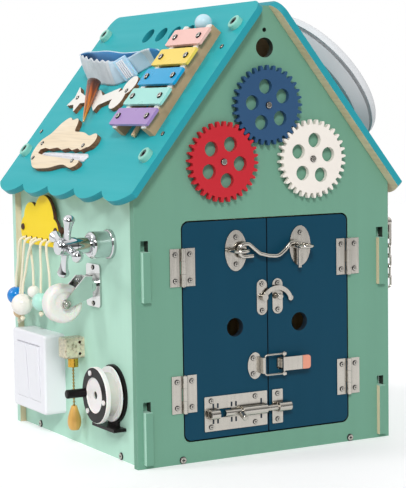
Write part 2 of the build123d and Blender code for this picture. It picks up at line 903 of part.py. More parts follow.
with BuildPart() as left_hinge_leaves:
    for height in hinge_heights:
        hinge_leaf(-hinge_x, 1, height, middle_span)
    drill(left_leaf_places, small_shank_radius + hole_play, small_shank_length)

with BuildPart() as right_hinge_leaves:
    for height in hinge_heights:
        hinge_leaf(hinge_x, -1, height, middle_span)
    drill(right_leaf_places, small_shank_radius + hole_play, small_shank_length)

with BuildPart() as frame_hinge_leaves:
    for side in (-1, 1):
        for height in hinge_heights:
            hinge_leaf(side * hinge_x, side, height, outer_spans)
    drill(frame_hinge_places, small_shank_radius + hole_play, small_shank_length)
    for side in (-1, 1):
        for height in hinge_heights:
            with Locations(Plane((side * hinge_x, -half_depth - hinge_axis_lift, height))):
                Cylinder(pin_radius, hinge_height + 2 * pin_proud)

# Cabin hook: two plates with staples, and the bent rod
eye_front = half_depth + eye_plate_thickness
leg_end = eye_front + eye_leg_length

def ring_eye(x, z, places):
    """Oval plate with a staple standing on it, added to the current part."""
    foot = -half_depth - eye_leg_sink
    with BuildSketch(front) as plate:
        with Locations((x, z)):
            Ellipse(eye_plate_width / 2, eye_plate_height / 2)
    extrude(plate.sketch, amount=eye_plate_thickness)
    drill(places, small_shank_radius + hole_play, small_shank_length)
    with BuildLine(Plane((x, 0, z))) as staple:
        Line((-eye_leg_reach, foot), (-eye_leg_reach, -leg_end))
        ThreePointArc((-eye_leg_reach, -leg_end), (0, -leg_end - eye_leg_reach), (eye_leg_reach, -leg_end))
        Line((eye_leg_reach, -leg_end), (eye_leg_reach, foot))
    with BuildSketch(Plane((x - eye_leg_reach, foot, z), z_dir=(0, -1, 0))) as wire:
        Circle(eye_wire_radius)
    sweep(wire.sketch, path=staple.wire())


with BuildPart() as left_eye:
    ring_eye(eye_left_x, eye_left_z, left_eye_places)

with BuildPart() as right_eye:
    ring_eye(eye_right_x, eye_right_z, right_eye_places)

hook_x = eye_left_x + eye_leg_reach
hook_z = eye_left_z
loop_gap = eye_wire_radius + hook_wire_radius + hook_play
catch_x = eye_right_x - eye_leg_reach
catch_top = eye_right_z + loop_gap
hook_rest = front.offset(hook_lift)
hook_route = (
    (hook_x + 9.0, hook_z - loop_gap - 1.8), (hook_x - loop_gap - 2.0, hook_z - loop_gap - 2.2),
    (hook_x - loop_gap - 2.0, hook_z + loop_gap + 2.2), (hook_x + 4.0, hook_z + loop_gap + 2.2),
    (hook_x + 17.0, hook_z - 4.0), (hook_x + 27.0, hook_z - 6.7), (hook_x + 39.0, hook_z - 8.0),
    (hook_x + 47.0, hook_z - 2.0), (catch_x - 6.0, catch_top), (catch_x + loop_gap + 0.4, catch_top),
    (catch_x + loop_gap + 0.4, catch_top - 26.0),
)
hook_bends = (5.4, 5.4, 5.4, 9.0, 12.0, 12.0, 8.0, 6.0, 4.0)

with BuildPart() as cabin_hook:
    with BuildLine(hook_rest) as route:
        FilletPolyline(*hook_route, radius=hook_bends)
    start = route.wire() @ 0
    heading = route.wire() % 0
    with BuildSketch(Plane(start, z_dir=heading)):
        Circle(hook_wire_radius)
    sweep(path=route.wire())

# Swing latch
lever_lift = swing_plate_thickness + lever_boss_height
lever_top = lever_lift + lever_thickness
pivot = (lever_pivot_x, swing_plate_z)
lever_mid = (lever_bend[0], swing_plate_z + lever_bend[1])
lever_tip = (lever_end[0], swing_plate_z + lever_end[1])

with BuildPart() as swing_plate:
    with BuildSketch(front):
        with Locations((swing_plate_x, swing_plate_z)):
            SlotOverall(swing_plate_height, swing_plate_width, rotation=90)
    extrude(amount=swing_plate_thickness)
    drill(swing_places, small_shank_radius + hole_play, small_shank_length)
    with Locations(*spots(front, [pivot], swing_plate_thickness)):
        Cylinder(lever_boss_radius, lever_boss_height - hole_play, align=stand)
        Cylinder(lever_pin_radius, lever_boss_height + lever_thickness + hole_play, align=stand)
    with Locations(*spots(front, [pivot], lever_top + hole_play)):
        Cylinder(lever_pin_head_radius, lever_pin_head_height, align=stand)

with BuildPart() as swing_lever:
    with BuildSketch(front.offset(lever_lift)):
        with BuildLine(mode=Mode.PRIVATE) as sweep_line:
            ThreePointArc(pivot, lever_mid, lever_tip)
        SlotArc(sweep_line.edges()[0], lever_width)
        with Locations(pivot):
            Circle(lever_boss_radius)
            Circle(lever_pin_radius + pin_play, mode=Mode.SUBTRACT)
        with Locations(lever_tip):
            Circle(lever_tip_radius)
    extrude(amount=lever_thickness)

with BuildPart() as swing_keeper:
    with BuildSketch(front):
        with Locations((keeper_x, swing_plate_z)):
            SlotOverall(swing_plate_height, swing_plate_width, rotation=90)
    extrude(amount=swing_plate_thickness)
    drill(keeper_places, small_shank_radius + hole_play, small_shank_length)
    with Locations(*spots(front, [(keeper_x, swing_plate_z)], swing_plate_thickness)):
        Cylinder(keeper_neck_radius, keeper_neck_height, align=stand)
    with Locations(*spots(front, [(keeper_x, swing_plate_z)], swing_plate_thickness + keeper_neck_height)):
        Cylinder(keeper_head_radius, keeper_head_height, align=stand)
    fillet(swing_keeper.edges().group_by(Axis.Y)[0], keeper_head_edge)

# Toggle latch
pin_y = -half_depth - toggle_pin_lift
pin_plane = Plane((toggle_pin_x, pin_y, toggle_z))
bail_low = toggle_z - bail_height / 2
bail_high = toggle_z + bail_height / 2
bail_x = toggle_pin_x - bail_reach
lip_x = bail_x - bail_wire_radius - strike_gap - strike_lip_thickness / 2

with BuildPart() as toggle_strike:
    with BuildSketch(front):
        with Locations((strike_x, toggle_z)):
            Ellipse(strike_width / 2, strike_height / 2)
    extrude(amount=toggle_plate_thickness)
    drill(strike_places, small_shank_radius + hole_play, small_shank_length)
    with Locations(at(front, lip_x, toggle_z)):
        Box(strike_lip_thickness, strike_lip_height, strike_lip_lift, align=stand)

with BuildPart() as toggle_base:
    with BuildSketch(front):
        with Locations((toggle_plate_x, toggle_z)):
            RectangleRounded(toggle_plate_width, toggle_plate_height, toggle_plate_corner)
    extrude(amount=toggle_plate_thickness)
    drill(toggle_places, small_shank_radius + hole_play, small_shank_length)
    with Locations(at(front, toggle_pin_x, toggle_z)):
        Box(2 * toggle_lug_radius, toggle_lug_height, toggle_pin_lift, align=stand)
    with Locations(pin_plane):
        Cylinder(toggle_lug_radius, toggle_lug_height)
        Cylinder(toggle_pin_radius, bail_height + 2 * toggle_pin_proud)

with BuildPart() as toggle_lever:
    lever_left = toggle_pin_x - toggle_lever_back
    lever_span = toggle_lever_back + toggle_lever_reach
    with Locations(at(front, lever_left + lever_span / 2, toggle_z, toggle_pin_lift + toggle_plate_lift)):
        Box(lever_span, toggle_lever_height, toggle_sheet, align=stand)
    flange_x = toggle_pin_x + toggle_flange_shift
    flange_z = (toggle_lever_height - toggle_sheet) / 2
    flange_lift = toggle_pin_lift - toggle_flange_drop
    flange_depth = toggle_flange_drop + toggle_plate_lift + toggle_sheet
    for side in (-1, 1):
        with Locations(at(front, flange_x, toggle_z + side * flange_z, flange_lift)):
            Box(toggle_flange_length, toggle_sheet, flange_depth, align=stand)
    with Locations(pin_plane):
        Cylinder(toggle_pin_radius + pin_play, toggle_lever_height, mode=Mode.SUBTRACT)
    tip_x = lever_left + lever_span + toggle_tip_length / 2
    with Locations(at(front, tip_x, toggle_z, toggle_pin_lift + toggle_plate_lift - toggle_tip_proud)):
        Box(toggle_tip_length, toggle_lever_height, toggle_sheet + 2 * toggle_tip_proud, align=stand)
    fillet(toggle_lever.edges().filter_by(Axis.Y).group_by(Axis.X)[-1], toggle_tip_corner)

with BuildPart() as toggle_bail:
    bail_start = toggle_pin_x - toggle_pin_radius - bail_root
    with BuildLine() as bail_route:
        FilletPolyline(
            (bail_start, pin_y, bail_low), (bail_x, pin_y, bail_low), (bail_x, pin_y, bail_high),
            (bail_start, pin_y, bail_high), radius=bail_bend,
        )
    with BuildSketch(Plane((bail_start, pin_y, bail_low), z_dir=(-1, 0, 0))):
        Circle(bail_wire_radius)
    sweep(path=bail_route.wire())
    for z in (bail_low, bail_high):
        with Locations(Plane((toggle_pin_x, pin_y, z))):
            Cylinder(bail_eye_radius, bail_eye_height)
            Cylinder(toggle_pin_radius + pin_play, bail_eye_height, mode=Mode.SUBTRACT)

# Barrel bolt
rod_y = -half_depth - rod_lift


def bolt_strap(x, width):
    """Arched housing standing on the front face, lying along X."""
    with Locations(at(front, x, bolt_z)):
        Box(width, 2 * housing_radius, rod_lift, align=stand)
    with Locations(Plane((x, rod_y, bolt_z), z_dir=(1, 0, 0))):
        Cylinder(housing_radius, width)


with BuildPart() as bolt_housing:
    with BuildSketch(front):
        with Locations((bolt_plate_x, bolt_z)):
            RectangleRounded(bolt_plate_width, bolt_plate_height, bolt_plate_corner)
    extrude(amount=bolt_plate_thickness)
    bolt_strap(bolt_plate_left + rear_strap_inset, rear_strap_width)
    bolt_strap(front_strap_x, front_strap_width)
    drill(bolt_housing_places, small_shank_radius + hole_play, small_shank_length)
    with Locations(at(front, bolt_plate_left + bolt_window_inset + bolt_window_length / 2, bolt_z)):
        Box(bolt_window_length, bolt_window_height, bolt_plate_thickness, align=stand, mode=Mode.SUBTRACT)
    with Locations(Plane((bolt_plate_x, rod_y, bolt_z), z_dir=(1, 0, 0))):
        Cylinder(rod_radius + rod_play, bolt_plate_width + 2 * bore_overrun, mode=Mode.SUBTRACT)

rod_start = bolt_plate_left + rod_inset
# the knob leans down from the front face's normal
front_knob_plane = Plane((rod_knob_x, rod_y, bolt_z), z_dir=Vector(0, -1, 0).rotate(Axis.X, rod_knob_tilt))
knob_axis = Axis(front_knob_plane.origin, front_knob_plane.z_dir)

with BuildPart() as bolt_rod:
    with Locations(Plane((rod_start, rod_y, bolt_z), z_dir=(1, 0, 0))):
        Cylinder(rod_radius, rod_reach - rod_start, align=stand)
    with Locations(front_knob_plane):
        Cylinder(rod_stem_radius, rod_knob_start, align=stand)
    with Locations(front_knob_plane.offset(rod_knob_start)):
        Cylinder(rod_knob_radius, rod_knob_reach - rod_knob_start, align=stand)
    fillet(bolt_rod.edges().group_by(knob_axis)[-1], rod_knob_edge)

with BuildPart() as bolt_strike:
    with BuildSketch(front):
        with Locations((bolt_strike_x, bolt_z)):
            RectangleRounded(bolt_strike_width, bolt_plate_height, bolt_plate_corner)
    extrude(amount=bolt_plate_thickness)
    bolt_strap(bolt_sleeve_x, bolt_sleeve_width)
    drill(bolt_strike_places, small_shank_radius + hole_play, small_shank_length)
    with Locations(Plane((bolt_sleeve_x, rod_y, bolt_z), z_dir=(1, 0, 0))):
        Cylinder(rod_radius + strike_play, bolt_sleeve_width + 2 * bore_overrun, mode=Mode.SUBTRACT)

# Tap
tap_place = at(left, tap_a, tap_z)

with BuildPart() as tap_base:
    with Locations(tap_place):
        Cylinder(tap_flange_radius, tap_flange_height, align=stand)
    fillet(tap_base.edges().group_by(Axis.X)[0], tap_flange_edge)
    with Locations(tap_place):
        Cylinder(tap_body_radius, tap_body_top, align=stand)
    fillet(tap_base.edges().group_by(Axis.X)[0], tap_body_edge)
    with Locations(tap_place):
        Cylinder(tap_neck_radius, tap_neck_top, align=stand)
        Cylinder(tap_spindle_radius, tap_spindle_top, align=stand)

tap_arm_flare = tap_arm_reach - tap_arm_round
tap_tip_radius = (tap_arm_end**2 + tap_arm_round**2) / (2 * tap_arm_round)

with BuildPart() as tap_arm:
    with BuildSketch(Plane.XZ):
        with BuildLine():
            Line((tap_arm_root, 0), (tap_arm_root, tap_arm_shoulder))
            ThreePointArc(
                (tap_arm_root, tap_arm_shoulder),
                (tap_arm_reach / 2, tap_arm_waist),
                (tap_arm_flare, tap_arm_end),
            )
            RadiusArc((tap_arm_flare, tap_arm_end), (tap_arm_reach, 0), tap_tip_radius)
            Line((tap_arm_reach, 0), (tap_arm_root, 0))
        make_face()
    revolve(axis=Axis.X)

with BuildPart() as tap_handle:
    with Locations(tap_place.offset(tap_hub_base)):
        Cylinder(tap_hub_radius, tap_hub_top - tap_hub_base, align=stand)
    with Locations(tap_place.offset(tap_arm_lift)):
        with PolarLocations(0, 4, start_angle=tap_arm_turn):
            add(tap_arm.part)
    with Locations(tap_place.offset(tap_hub_top)):
        Cylinder(tap_cap_radius, tap_cap_top - tap_hub_top, align=stand)
    fillet(tap_handle.edges().group_by(Axis.X)[0], tap_cap_edge)
    bore_depth = tap_spindle_top + tap_spindle_gap
    with Locations(tap_place):
        Cylinder(tap_spindle_radius + tap_play, bore_depth, align=stand, mode=Mode.SUBTRACT)

# Swivel caster
caster_place = at(left, caster_a, caster_z)
fork_base = race_top + fork_gap
axle_place = at(left, caster_a, caster_z - caster_trail, wheel_lift)
axle_centre = axle_place.origin
axle_plane = Plane(axle_centre, x_dir=(0, 0, 1), z_dir=(0, 1, 0))

with BuildPart() as caster_plate:
    with BuildSketch(left):
        with Locations((caster_a, caster_z)):
            RectangleRounded(caster_plate_width, caster_plate_height, caster_plate_corner)
    extrude(amount=caster_plate_thickness)
    drill(caster_places, small_shank_radius + hole_play, small_shank_length)
    with Locations(caster_place):
        Cylinder(race_radius, race_top, align=stand)
        Cylinder(kingpin_radius, fork_base + fork_sheet + fork_gap, align=stand)
    with Locations(caster_place.offset(fork_base + fork_sheet + fork_gap)):
        Cylinder(kingpin_head_radius, kingpin_head_height, align=stand)

with BuildPart() as caster_fork:
    depth = wheel_lift - fork_base
    with Locations(caster_place.offset(fork_base)):
        Box(2 * fork_half_width + fork_sheet, 2 * fork_root, fork_sheet, align=stand)
    for side in (-1, 1):
        leg_centre = axle_centre + Vector(0, side * fork_half_width, 0)
        leg_plane = Plane(leg_centre, x_dir=(0, 0, 1), z_dir=(0, 1, 0))
        with BuildSketch(leg_plane):
            with BuildLine():
                Polyline(
                    (-leg_end_radius, 0), (leg_end_radius, 0),
                    (caster_trail + fork_root, depth - fork_shoulder),
                    (caster_trail + fork_root, depth), (caster_trail - fork_root, depth), close=True,
                )
            make_face()
            Circle(leg_end_radius)
        extrude(amount=fork_sheet / 2, both=True)
    with Locations(axle_plane):
        Cylinder(axle_radius, 2 * fork_half_width + fork_sheet)
    for side in (-1, 1):
        with Locations(axle_plane.offset(side * (fork_half_width + fork_sheet / 2 + axle_head_height / 2))):
            Cylinder(axle_head_radius, axle_head_height)
    with Locations(caster_place):
        Cylinder(kingpin_radius + caster_play, wheel_lift / 2, align=stand, mode=Mode.SUBTRACT)

with BuildPart() as caster_wheel:
    with Locations(axle_plane):
        Cylinder(wheel_radius, wheel_width)
    fillet(caster_wheel.edges(), wheel_round)
    for side in (-1, 1):
        with Locations(axle_plane.offset(side * wheel_width / 2)):
            Cylinder(wheel_dish_radius, 2 * wheel_dish_depth, mode=Mode.SUBTRACT)
    with Locations(axle_plane):
        Cylinder(wheel_hub_radius, wheel_width)
        Cylinder(axle_radius + caster_play, wheel_width, mode=Mode.SUBTRACT)

# Wall switch
rocker_centres = (switch_a + rocker_spacing / 2, switch_a - rocker_spacing / 2)
pocket_width = rocker_width + 2 * rocker_play
pocket_height = rocker_height + 2 * rocker_play

with BuildPart() as switch_box:
    with BuildSketch(left):
        with Locations((switch_a, switch_z)):
            RectangleRounded(switch_size, switch_size, switch_radius)
    extrude(amount=switch_depth)
    fillet(switch_box.faces().sort_by(Axis.X)[0].edges(), switch_edge)
    for a in rocker_centres:
        with Locations(at(left, a, switch_z, switch_depth)):
            Box(pocket_width, pocket_height, rocker_pocket_depth, align=hang, mode=Mode.SUBTRACT)


def rocker(a):
    """Rocker tilted about its horizontal axis, with a pivot barrel behind it."""
    axis_place = at(left, a, switch_z, rocker_axis_lift) * Rot(X=rocker_tilt)
    with Locations(axis_place * Pos(0, 0, rocker_barrel_cover)):
        Box(rocker_width, rocker_height, rocker_thickness, align=stand)
    with Locations(axis_place * Rot(Y=90)):
        Cylinder(rocker_barrel_radius, rocker_width)


with BuildPart() as rocker_front:
    rocker(rocker_centres[0])

with BuildPart() as rocker_rear:
    rocker(rocker_centres[1])

# Pull switch
chain_top_plane = at(left, chain_a, 0, chain_lift)
chain_x = chain_top_plane.origin.X
chain_y = chain_top_plane.origin.Y
collar_top = pull_z - pull_height / 2

with BuildPart() as pull_switch:
    with BuildSketch(left):
        with Locations((pull_a, pull_z)):
            RectangleRounded(pull_width, pull_height, pull_corner)
    extrude(amount=pull_depth)
    fillet(pull_switch.faces().sort_by(Axis.X)[0].edges(), pull_edge)
    pull_rows = [pull_z + d for d in (-pull_hole_spread, pull_hole_spread)]
    pull_side = [at(left, pull_a + pull_width / 2, z, pull_hole_lift).origin for z in pull_rows]
    drill([Plane(point, z_dir=(0, -1, 0)) for point in pull_side], pull_hole_radius, pull_hole_depth)
    with Locations(Plane((chain_x, chain_y, collar_top))):
        Cylinder(collar_radius, collar_height, align=hang)
        Cylinder(collar_bore, collar_height, align=hang, mode=Mode.SUBTRACT)

with BuildPart() as pull_cord:
    with Locations(Plane((chain_x, chain_y, chain_top))):
        Cylinder(chain_wire_radius, chain_top - knob_top + 3, align=hang)
    ball_count = int((chain_top - knob_top) / ball_pitch)
    with Locations(*[(chain_x, chain_y, chain_top - i * ball_pitch) for i in range(ball_count + 1)]):
        Sphere(ball_radius)
    with BuildSketch(Plane((chain_x, chain_y, knob_top - knob_height), x_dir=(1, 0, 0), z_dir=(0, -1, 0))):
        with BuildLine():
            Line((0, 0), (knob_low_radius - 2.5, 0))
            Spline(
                (knob_low_radius - 2.5, 0), (knob_low_radius, 5.5), (knob_top_radius + 0.6, knob_height - 7),
                (knob_top_radius - 1.6, knob_height),
            )
            Line((knob_top_radius - 1.6, knob_height), (0, knob_height))
            Line((0, knob_height), (0, 0))
        make_face()
    revolve(axis=Axis((chain_x, chain_y, 0), (0, 0, 1)))

# Reel
reel_place = at(left, reel_a, reel_z)

with BuildPart() as reel_frame:
    with Locations(reel_place):
        Cylinder(reel_plate_radius, reel_plate_thickness, align=stand)
    web_height = reel_z - reel_foot_z
    with Locations(at(left, reel_a, reel_foot_z + web_height / 2)):
        Box(reel_web_width, web_height, reel_plate_thickness, align=stand)
    with Locations(at(left, reel_a, reel_foot_z + reel_foot_height / 2)):
        Box(reel_foot_width, reel_foot_height, reel_foot_depth, align=stand)
    drill(reel_places, small_shank_radius + hole_play, small_shank_length)
    with Locations(reel_place):
        Cylinder(reel_axle_radius, reel_axle_top, align=stand)

rear_flange_base = reel_plate_thickness + small_head_height + rear_flange_play

with BuildPart() as reel_spool:
    with Locations(reel_place.offset(drum_base)):
        Cylinder(drum_radius, drum_top - drum_base, align=stand)
    with Locations(reel_place.offset(rear_flange_base)):
        Cylinder(rear_flange_radius, rear_flange_thickness, align=stand)
    with Locations(reel_place.offset(drum_top)):
        Cylinder(reel_ring_radius, reel_ring_top - drum_top, align=stand)
    fillet(reel_spool.edges().group_by(Axis.X)[0], reel_edge)
    with Locations(reel_place.offset(reel_ring_top)):
        Cylinder(reel_ring_inner, reel_ring_top - reel_centre_top, align=hang, mode=Mode.SUBTRACT)
    with Locations(reel_place):
        Cylinder(reel_axle_radius + reel_play, reel_ring_top, align=stand, mode=Mode.SUBTRACT)
    with Locations(reel_place.offset(reel_ring_top)):
        with PolarLocations(rivet_ring, rivet_count, start_angle=rivet_start):
            Cylinder(rivet_radius, rivet_height, align=stand)
        with Locations((-crank_reach, 0)):
            Cylinder(crank_radius, crank_length, align=stand)
    fillet(reel_spool.edges().group_by(Axis.X)[0], reel_edge)

# Cloud
with BuildPart() as cloud:
    with BuildSketch(left.offset(cloud_lift)):
        with Locations((cloud_bar_a, cloud_bar_z)):
            SlotOverall(cloud_bar_width, cloud_bar_height)
        for a, rise, radius in cloud_lobes:
            with Locations((a, cloud_bar_z + rise)):
                Circle(radius)
        with Locations(*[(-string[0][1], string[0][2]) for string in strings]):
            Circle(string_radius + string_hole_play, mode=Mode.SUBTRACT)
    extrude(amount=cloud_thickness)
    with Locations(*spots(left, cloud_points)):
        Cylinder(spacer_radius, cloud_lift, align=stand)
    drill(cloud_places, wide_shank_radius + hole_play, wide_shank_length)

# Bead strings: each leaves its hole, bends down and runs through its bead to a knot
def bend_radii(points):
    """Largest bend at each inner point that its two runs leave room for."""
    radii = []
    for before, here, after in zip(points, points[1:], points[2:]):
        turn = (here - before).get_angle(after - here)
        run = min((here - before).length, (after - here).length)
        radii.append(run_share * run / tan(radians(turn / 2)))
    return radii


routes = [[Vector(*point) for point in string] for string in strings]
route_bends = [bend_radii(points) for points in routes]
for radii in route_bends:
    print("string bends", [round(radius, 1) for radius in radii])

with BuildPart() as bead_strings:
    for points, radii in zip(routes, route_bends):
        with BuildLine() as route:
            FilletPolyline(*points, radius=radii)
        with BuildSketch(Plane(points[0], z_dir=points[1] - points[0])):
            Circle(string_radius)
        sweep(path=route.wire())
        with Locations(points[-1]):
            Sphere(knot_radius)

with BuildPart() as beads:
    for points, radius in zip(routes, bead_radii):
        with Locations(Plane(points[-1] + Vector(0, 0, knot_radius + radius))):
            Sphere(radius)
            Cylinder(string_radius + bead_play, 4 * radius, mode=Mode.SUBTRACT)

# Xylophone
rail_length = hypot(rail_high - rail_low, (rail_spread_low - rail_spread_high) / 2)
rail_turn = degrees(atan2((rail_spread_low - rail_spread_high) / 2, rail_high - rail_low))

with BuildPart() as xylophone_rails:
    for side in (-1, 1):
        rail_place = at(roof_left, xylo_a + side * rail_offset(rail_mid), rail_mid) * Rot(Z=side * rail_turn)
        with Locations(rail_place):
            Box(rail_width, rail_length, rail_height, align=stand)
    for side in (-1, 1):
        rail_place = at(roof_left, xylo_a + side * rail_offset(rail_mid), rail_mid) * Rot(Z=side * rail_turn)
        with Locations(rail_place * Pos(0, 0, rail_height)):
            Box(felt_width, rail_length, felt_thickness, align=stand)
    drill(bar_places, wide_shank_radius + hole_play, bar_lift + bar_thickness)

with BuildPart() as xylophone_bars:
    for s, length in zip(bar_rows, bar_lengths):
        with BuildSketch(roof_left.offset(bar_lift)):
            with Locations((xylo_a, s)):
                RectangleRounded(length, bar_width, bar_radius)
        extrude(amount=bar_thickness)
    drill(bar_places, wide_shank_radius + hole_play, bar_lift + bar_thickness)

with BuildPart() as mallet:
    low_end = roof_left.from_local_coords(Vector(mallet_a, stick_low, stick_low_lift))
    ball_centre = roof_left.from_local_coords(Vector(mallet_a, ball_s, ball_lift))
    with Locations(Plane(low_end, z_dir=ball_centre - low_end)):
        Cylinder(stick_radius, (ball_centre - low_end).length, align=stand)
    with Locations(ball_centre):
        Sphere(ball_size)

# Crocodile with its zip
croc_back = (
    (-116.7, 38.1), (-112.7, 51.5), (-100.4, 60.3), (-94.9, 69.3), (-88.2, 77.0), (-77.1, 81.5),
    (-68.2, 78.4), (-61.5, 80.4), (-52.7, 77.0), (-48.7, 70.4), (-45.0, 64.4), (-34.9, 62.6),
    (-9.3, 59.7), (0.7, 58.1), (7.3, 60.4), (16.2, 59.3), (20.7, 52.6), (18.5, 45.9), (11.8, 43.0),
)
croc_teeth = (
    (11.8, 43.0), (0.7, 38.6), (-8.2, 41.0), (-19.0, 38.3), (-30.4, 41.0), (-45.0, 38.3), (-59.3, 41.0),
    (-77.1, 38.6), (-90.0, 40.0), (-99.8, 37.5),
)
croc_low_lip = ((-99.8, 32.6), (-70.0, 29.5), (-40.0, 28.4), (-12.7, 27.0), (14.0, 25.9))
croc_chin = (
    (14.0, 25.9), (16.2, 22.6), (9.6, 17.0), (-3.8, 17.0), (-17.1, 19.3), (-43.8, 14.8), (-70.4, 12.6),
    (-88.2, 13.7), (-103.8, 21.5), (-113.8, 29.3), (-116.7, 38.1),
)

with BuildPart() as crocodile:
    with BuildSketch(roof_left):
        with BuildLine():
            Spline(*croc_back)
            Polyline(*croc_teeth)
            Line(croc_teeth[-1], croc_low_lip[0])
            Spline(*croc_low_lip)
            Spline(*croc_chin)
        make_face()
    extrude(amount=croc_thickness)
    drill(croc_places, small_shank_radius + hole_play, croc_thickness)

with BuildPart() as zip_tape:
    with BuildSketch(roof_left):
        with BuildLine():
            Polyline(
                (-97.5, 33.5), (-97.5, 36.2), (-76.0, 37.6), (14.5, 37.6), (17.5, 34.0),
                (15.0, 27.6), (-12.7, 28.2), (-40.0, 29.6), (-70.0, 30.6), close=True,
            )
        make_face()
    extrude(amount=zip_thickness)

# White bone cut-out
with BuildPart() as bone_cutout:
    with BuildSketch(roof_left) as bone:
        with Locations((12.0, 125.2)):
            Circle(12.0)
        with Locations((4.0, 106.2)):
            Circle(12.5)
        with BuildLine():
            Polyline(
                (-112.0, 126.0), (-99.0, 117.0), (-80.5, 112.0), (-58.0, 112.0), (-63.0, 121.0),
                (-50.0, 119.0), (-38.0, 112.0), (-5.0, 122.0), (-5.0, 108.0), (-33.0, 99.0),
                (-35.0, 91.0), (-46.0, 97.0), (-53.0, 103.0), (-82.0, 102.0), (-84.9, 90.0),
                (-97.0, 100.0), (-113.8, 98.5), (-106.0, 110.0), close=True,
            )
        make_face()
        fillet(bone.vertices(), bone_edge)
    extrude(amount=bone_thickness)
    drill(bone_places, small_shank_radius + hole_play, bone_thickness)

# Glossy brown cone lying on the bone
cone_start = roof_left.from_local_coords(Vector(*cone_tip))
cone_end = roof_left.from_local_coords(Vector(*cone_top))
cone_plane = Plane(cone_start, z_dir=cone_end - cone_start)

with BuildPart() as brown_cone:
    with Locations(cone_plane):
        Cone(cone_tip_radius, cone_radius, (cone_end - cone_start).length, align=stand)
    fillet(brown_cone.edges().sort_by(Axis(cone_plane.origin, cone_plane.z_dir))[-1], cone_edge)

# Fabric loop standing on its edge and leaning up the roof, with its clasp in front
loop_points = (
    (-122.0, 141.5), (-92.0, 133.5), (-62.0, 129.8), (-33.0, 128.6), (-5.0, 140.0), (16.0, 151.0),
    (40.0, 158.5), (43.0, 164.5), (22.0, 164.5), (-2.0, 155.0), (-23.0, 145.0), (-46.0, 141.5),
    (-70.0, 142.5), (-100.0, 147.5), (-119.0, 148.5),
)
lean_out = sin(radians(loop_lean))
lean_up = cos(radians(loop_lean))
loop_up = roof_left.y_dir * lean_out + roof_left.z_dir * lean_up

with BuildPart() as fabric_loop:
    with BuildSketch(roof_left.offset(loop_rest)) as loop_ring:
        Polygon(*loop_points, align=None)
        fillet(loop_ring.vertices(), loop_bend)
        offset(amount=-loop_band, mode=Mode.SUBTRACT)
    extrude(amount=loop_height / lean_up, dir=loop_up)

clasp_x = roof_left.x_dir * cos(radians(clasp_turn)) + roof_left.y_dir * sin(radians(clasp_turn))
clasp_foot = roof_left.from_local_coords(Vector(clasp_a, clasp_s, loop_rest))
clasp_plane = Plane(clasp_foot, x_dir=clasp_x, z_dir=clasp_x.cross(loop_up))

with BuildPart() as loop_clasp:
    with BuildSketch(at(clasp_plane, 0, clasp_height / 2)):
        RectangleRounded(clasp_width, clasp_height, clasp_corner)
    extrude(amount=clasp_thickness)

# Push lamp
lamp_place = at(roof_right, lamp_a, lamp_s)

with BuildPart() as lamp_base:
    with Locations(lamp_place):
        Cylinder(lamp_foot_radius, lamp_foot_height, align=stand)
    with Locations(lamp_place.offset(lamp_foot_height)):
        Cone(lamp_flare_low, lamp_flare_high, lamp_flare_top - lamp_foot_height, align=stand)
    with Locations(lamp_place.offset(lamp_pocket_base)):
        Cylinder(lamp_piston_radius + lamp_play, lamp_flare_top, align=stand, mode=Mode.SUBTRACT)

with BuildPart() as lamp_dome:
    with Locations(at(lamp_place, 0, 0, lamp_rim_base)):
        Cylinder(lamp_rim_radius, lamp_rim_top - lamp_rim_base, align=stand)
    fillet(lamp_dome.edges().sort_by(Axis(lamp_place.origin, lamp_place.z_dir))[-1], lamp_rim_round)
    with Locations(at(lamp_place, 0, 0, lamp_piston_base)):
        Cylinder(lamp_piston_radius, lamp_rim_base - lamp_piston_base, align=stand)
        dome_hollow = lamp_rim_top - lamp_wall - lamp_piston_base
        Cylinder(lamp_piston_radius - lamp_wall, dome_hollow, align=stand, mode=Mode.SUBTRACT)

# Chain slider
track_low = eave_height - track_drop - track_height
track_mid = track_low + track_height / 2

with BuildPart() as chain_track:
    with Locations(at(right, track_a, track_mid)):
        Box(track_width, track_height, track_depth, align=stand)
    inner_width = track_width - 2 * track_wall
    inner_height = track_height - 2 * track_wall
    with Locations(at(right, track_a, track_mid, track_wall)):
        Box(inner_width, inner_height, track_depth - 2 * track_wall, align=stand, mode=Mode.SUBTRACT)
        Box(track_slit, inner_height, track_depth, align=stand, mode=Mode.SUBTRACT)

slider_mid = track_low + track_wall + slider_play + slider_height / 2
tab_low = slider_mid - slider_height / 2 - tab_drop


def chain_link(centre_z, across):
    """Stadium-shaped link hanging upright; across is true for a link seen edge-on from the side."""
    straight = link_length - link_width
    bend = link_width / 2 - link_wire
    link_plane = Plane(
        (wall_out + tab_lift, track_a, centre_z),
        x_dir=(1, 0, 0) if across else (0, 1, 0),
        z_dir=(0, -1, 0) if across else (1, 0, 0),
    )
    with BuildPart() as link:
        for side in (-1, 1):
            with Locations(at(link_plane, side * bend, 0) * Rot(X=90)):
                Cylinder(link_wire, straight)
            with BuildSketch(at(link_plane, -bend, side * straight / 2) * Rot(X=90)):
                Circle(link_wire)
            turn_axis = Axis((at(link_plane, 0, side * straight / 2)).origin, link_plane.z_dir)
            revolve(axis=turn_axis, revolution_arc=-180 * side)
    return link.part


first_link_z = tab_low + tab_hole_rise - link_length / 2 + 2 * link_wire
links = [chain_link(first_link_z - i * link_pitch, i % 2 == 0) for i in range(link_count)]

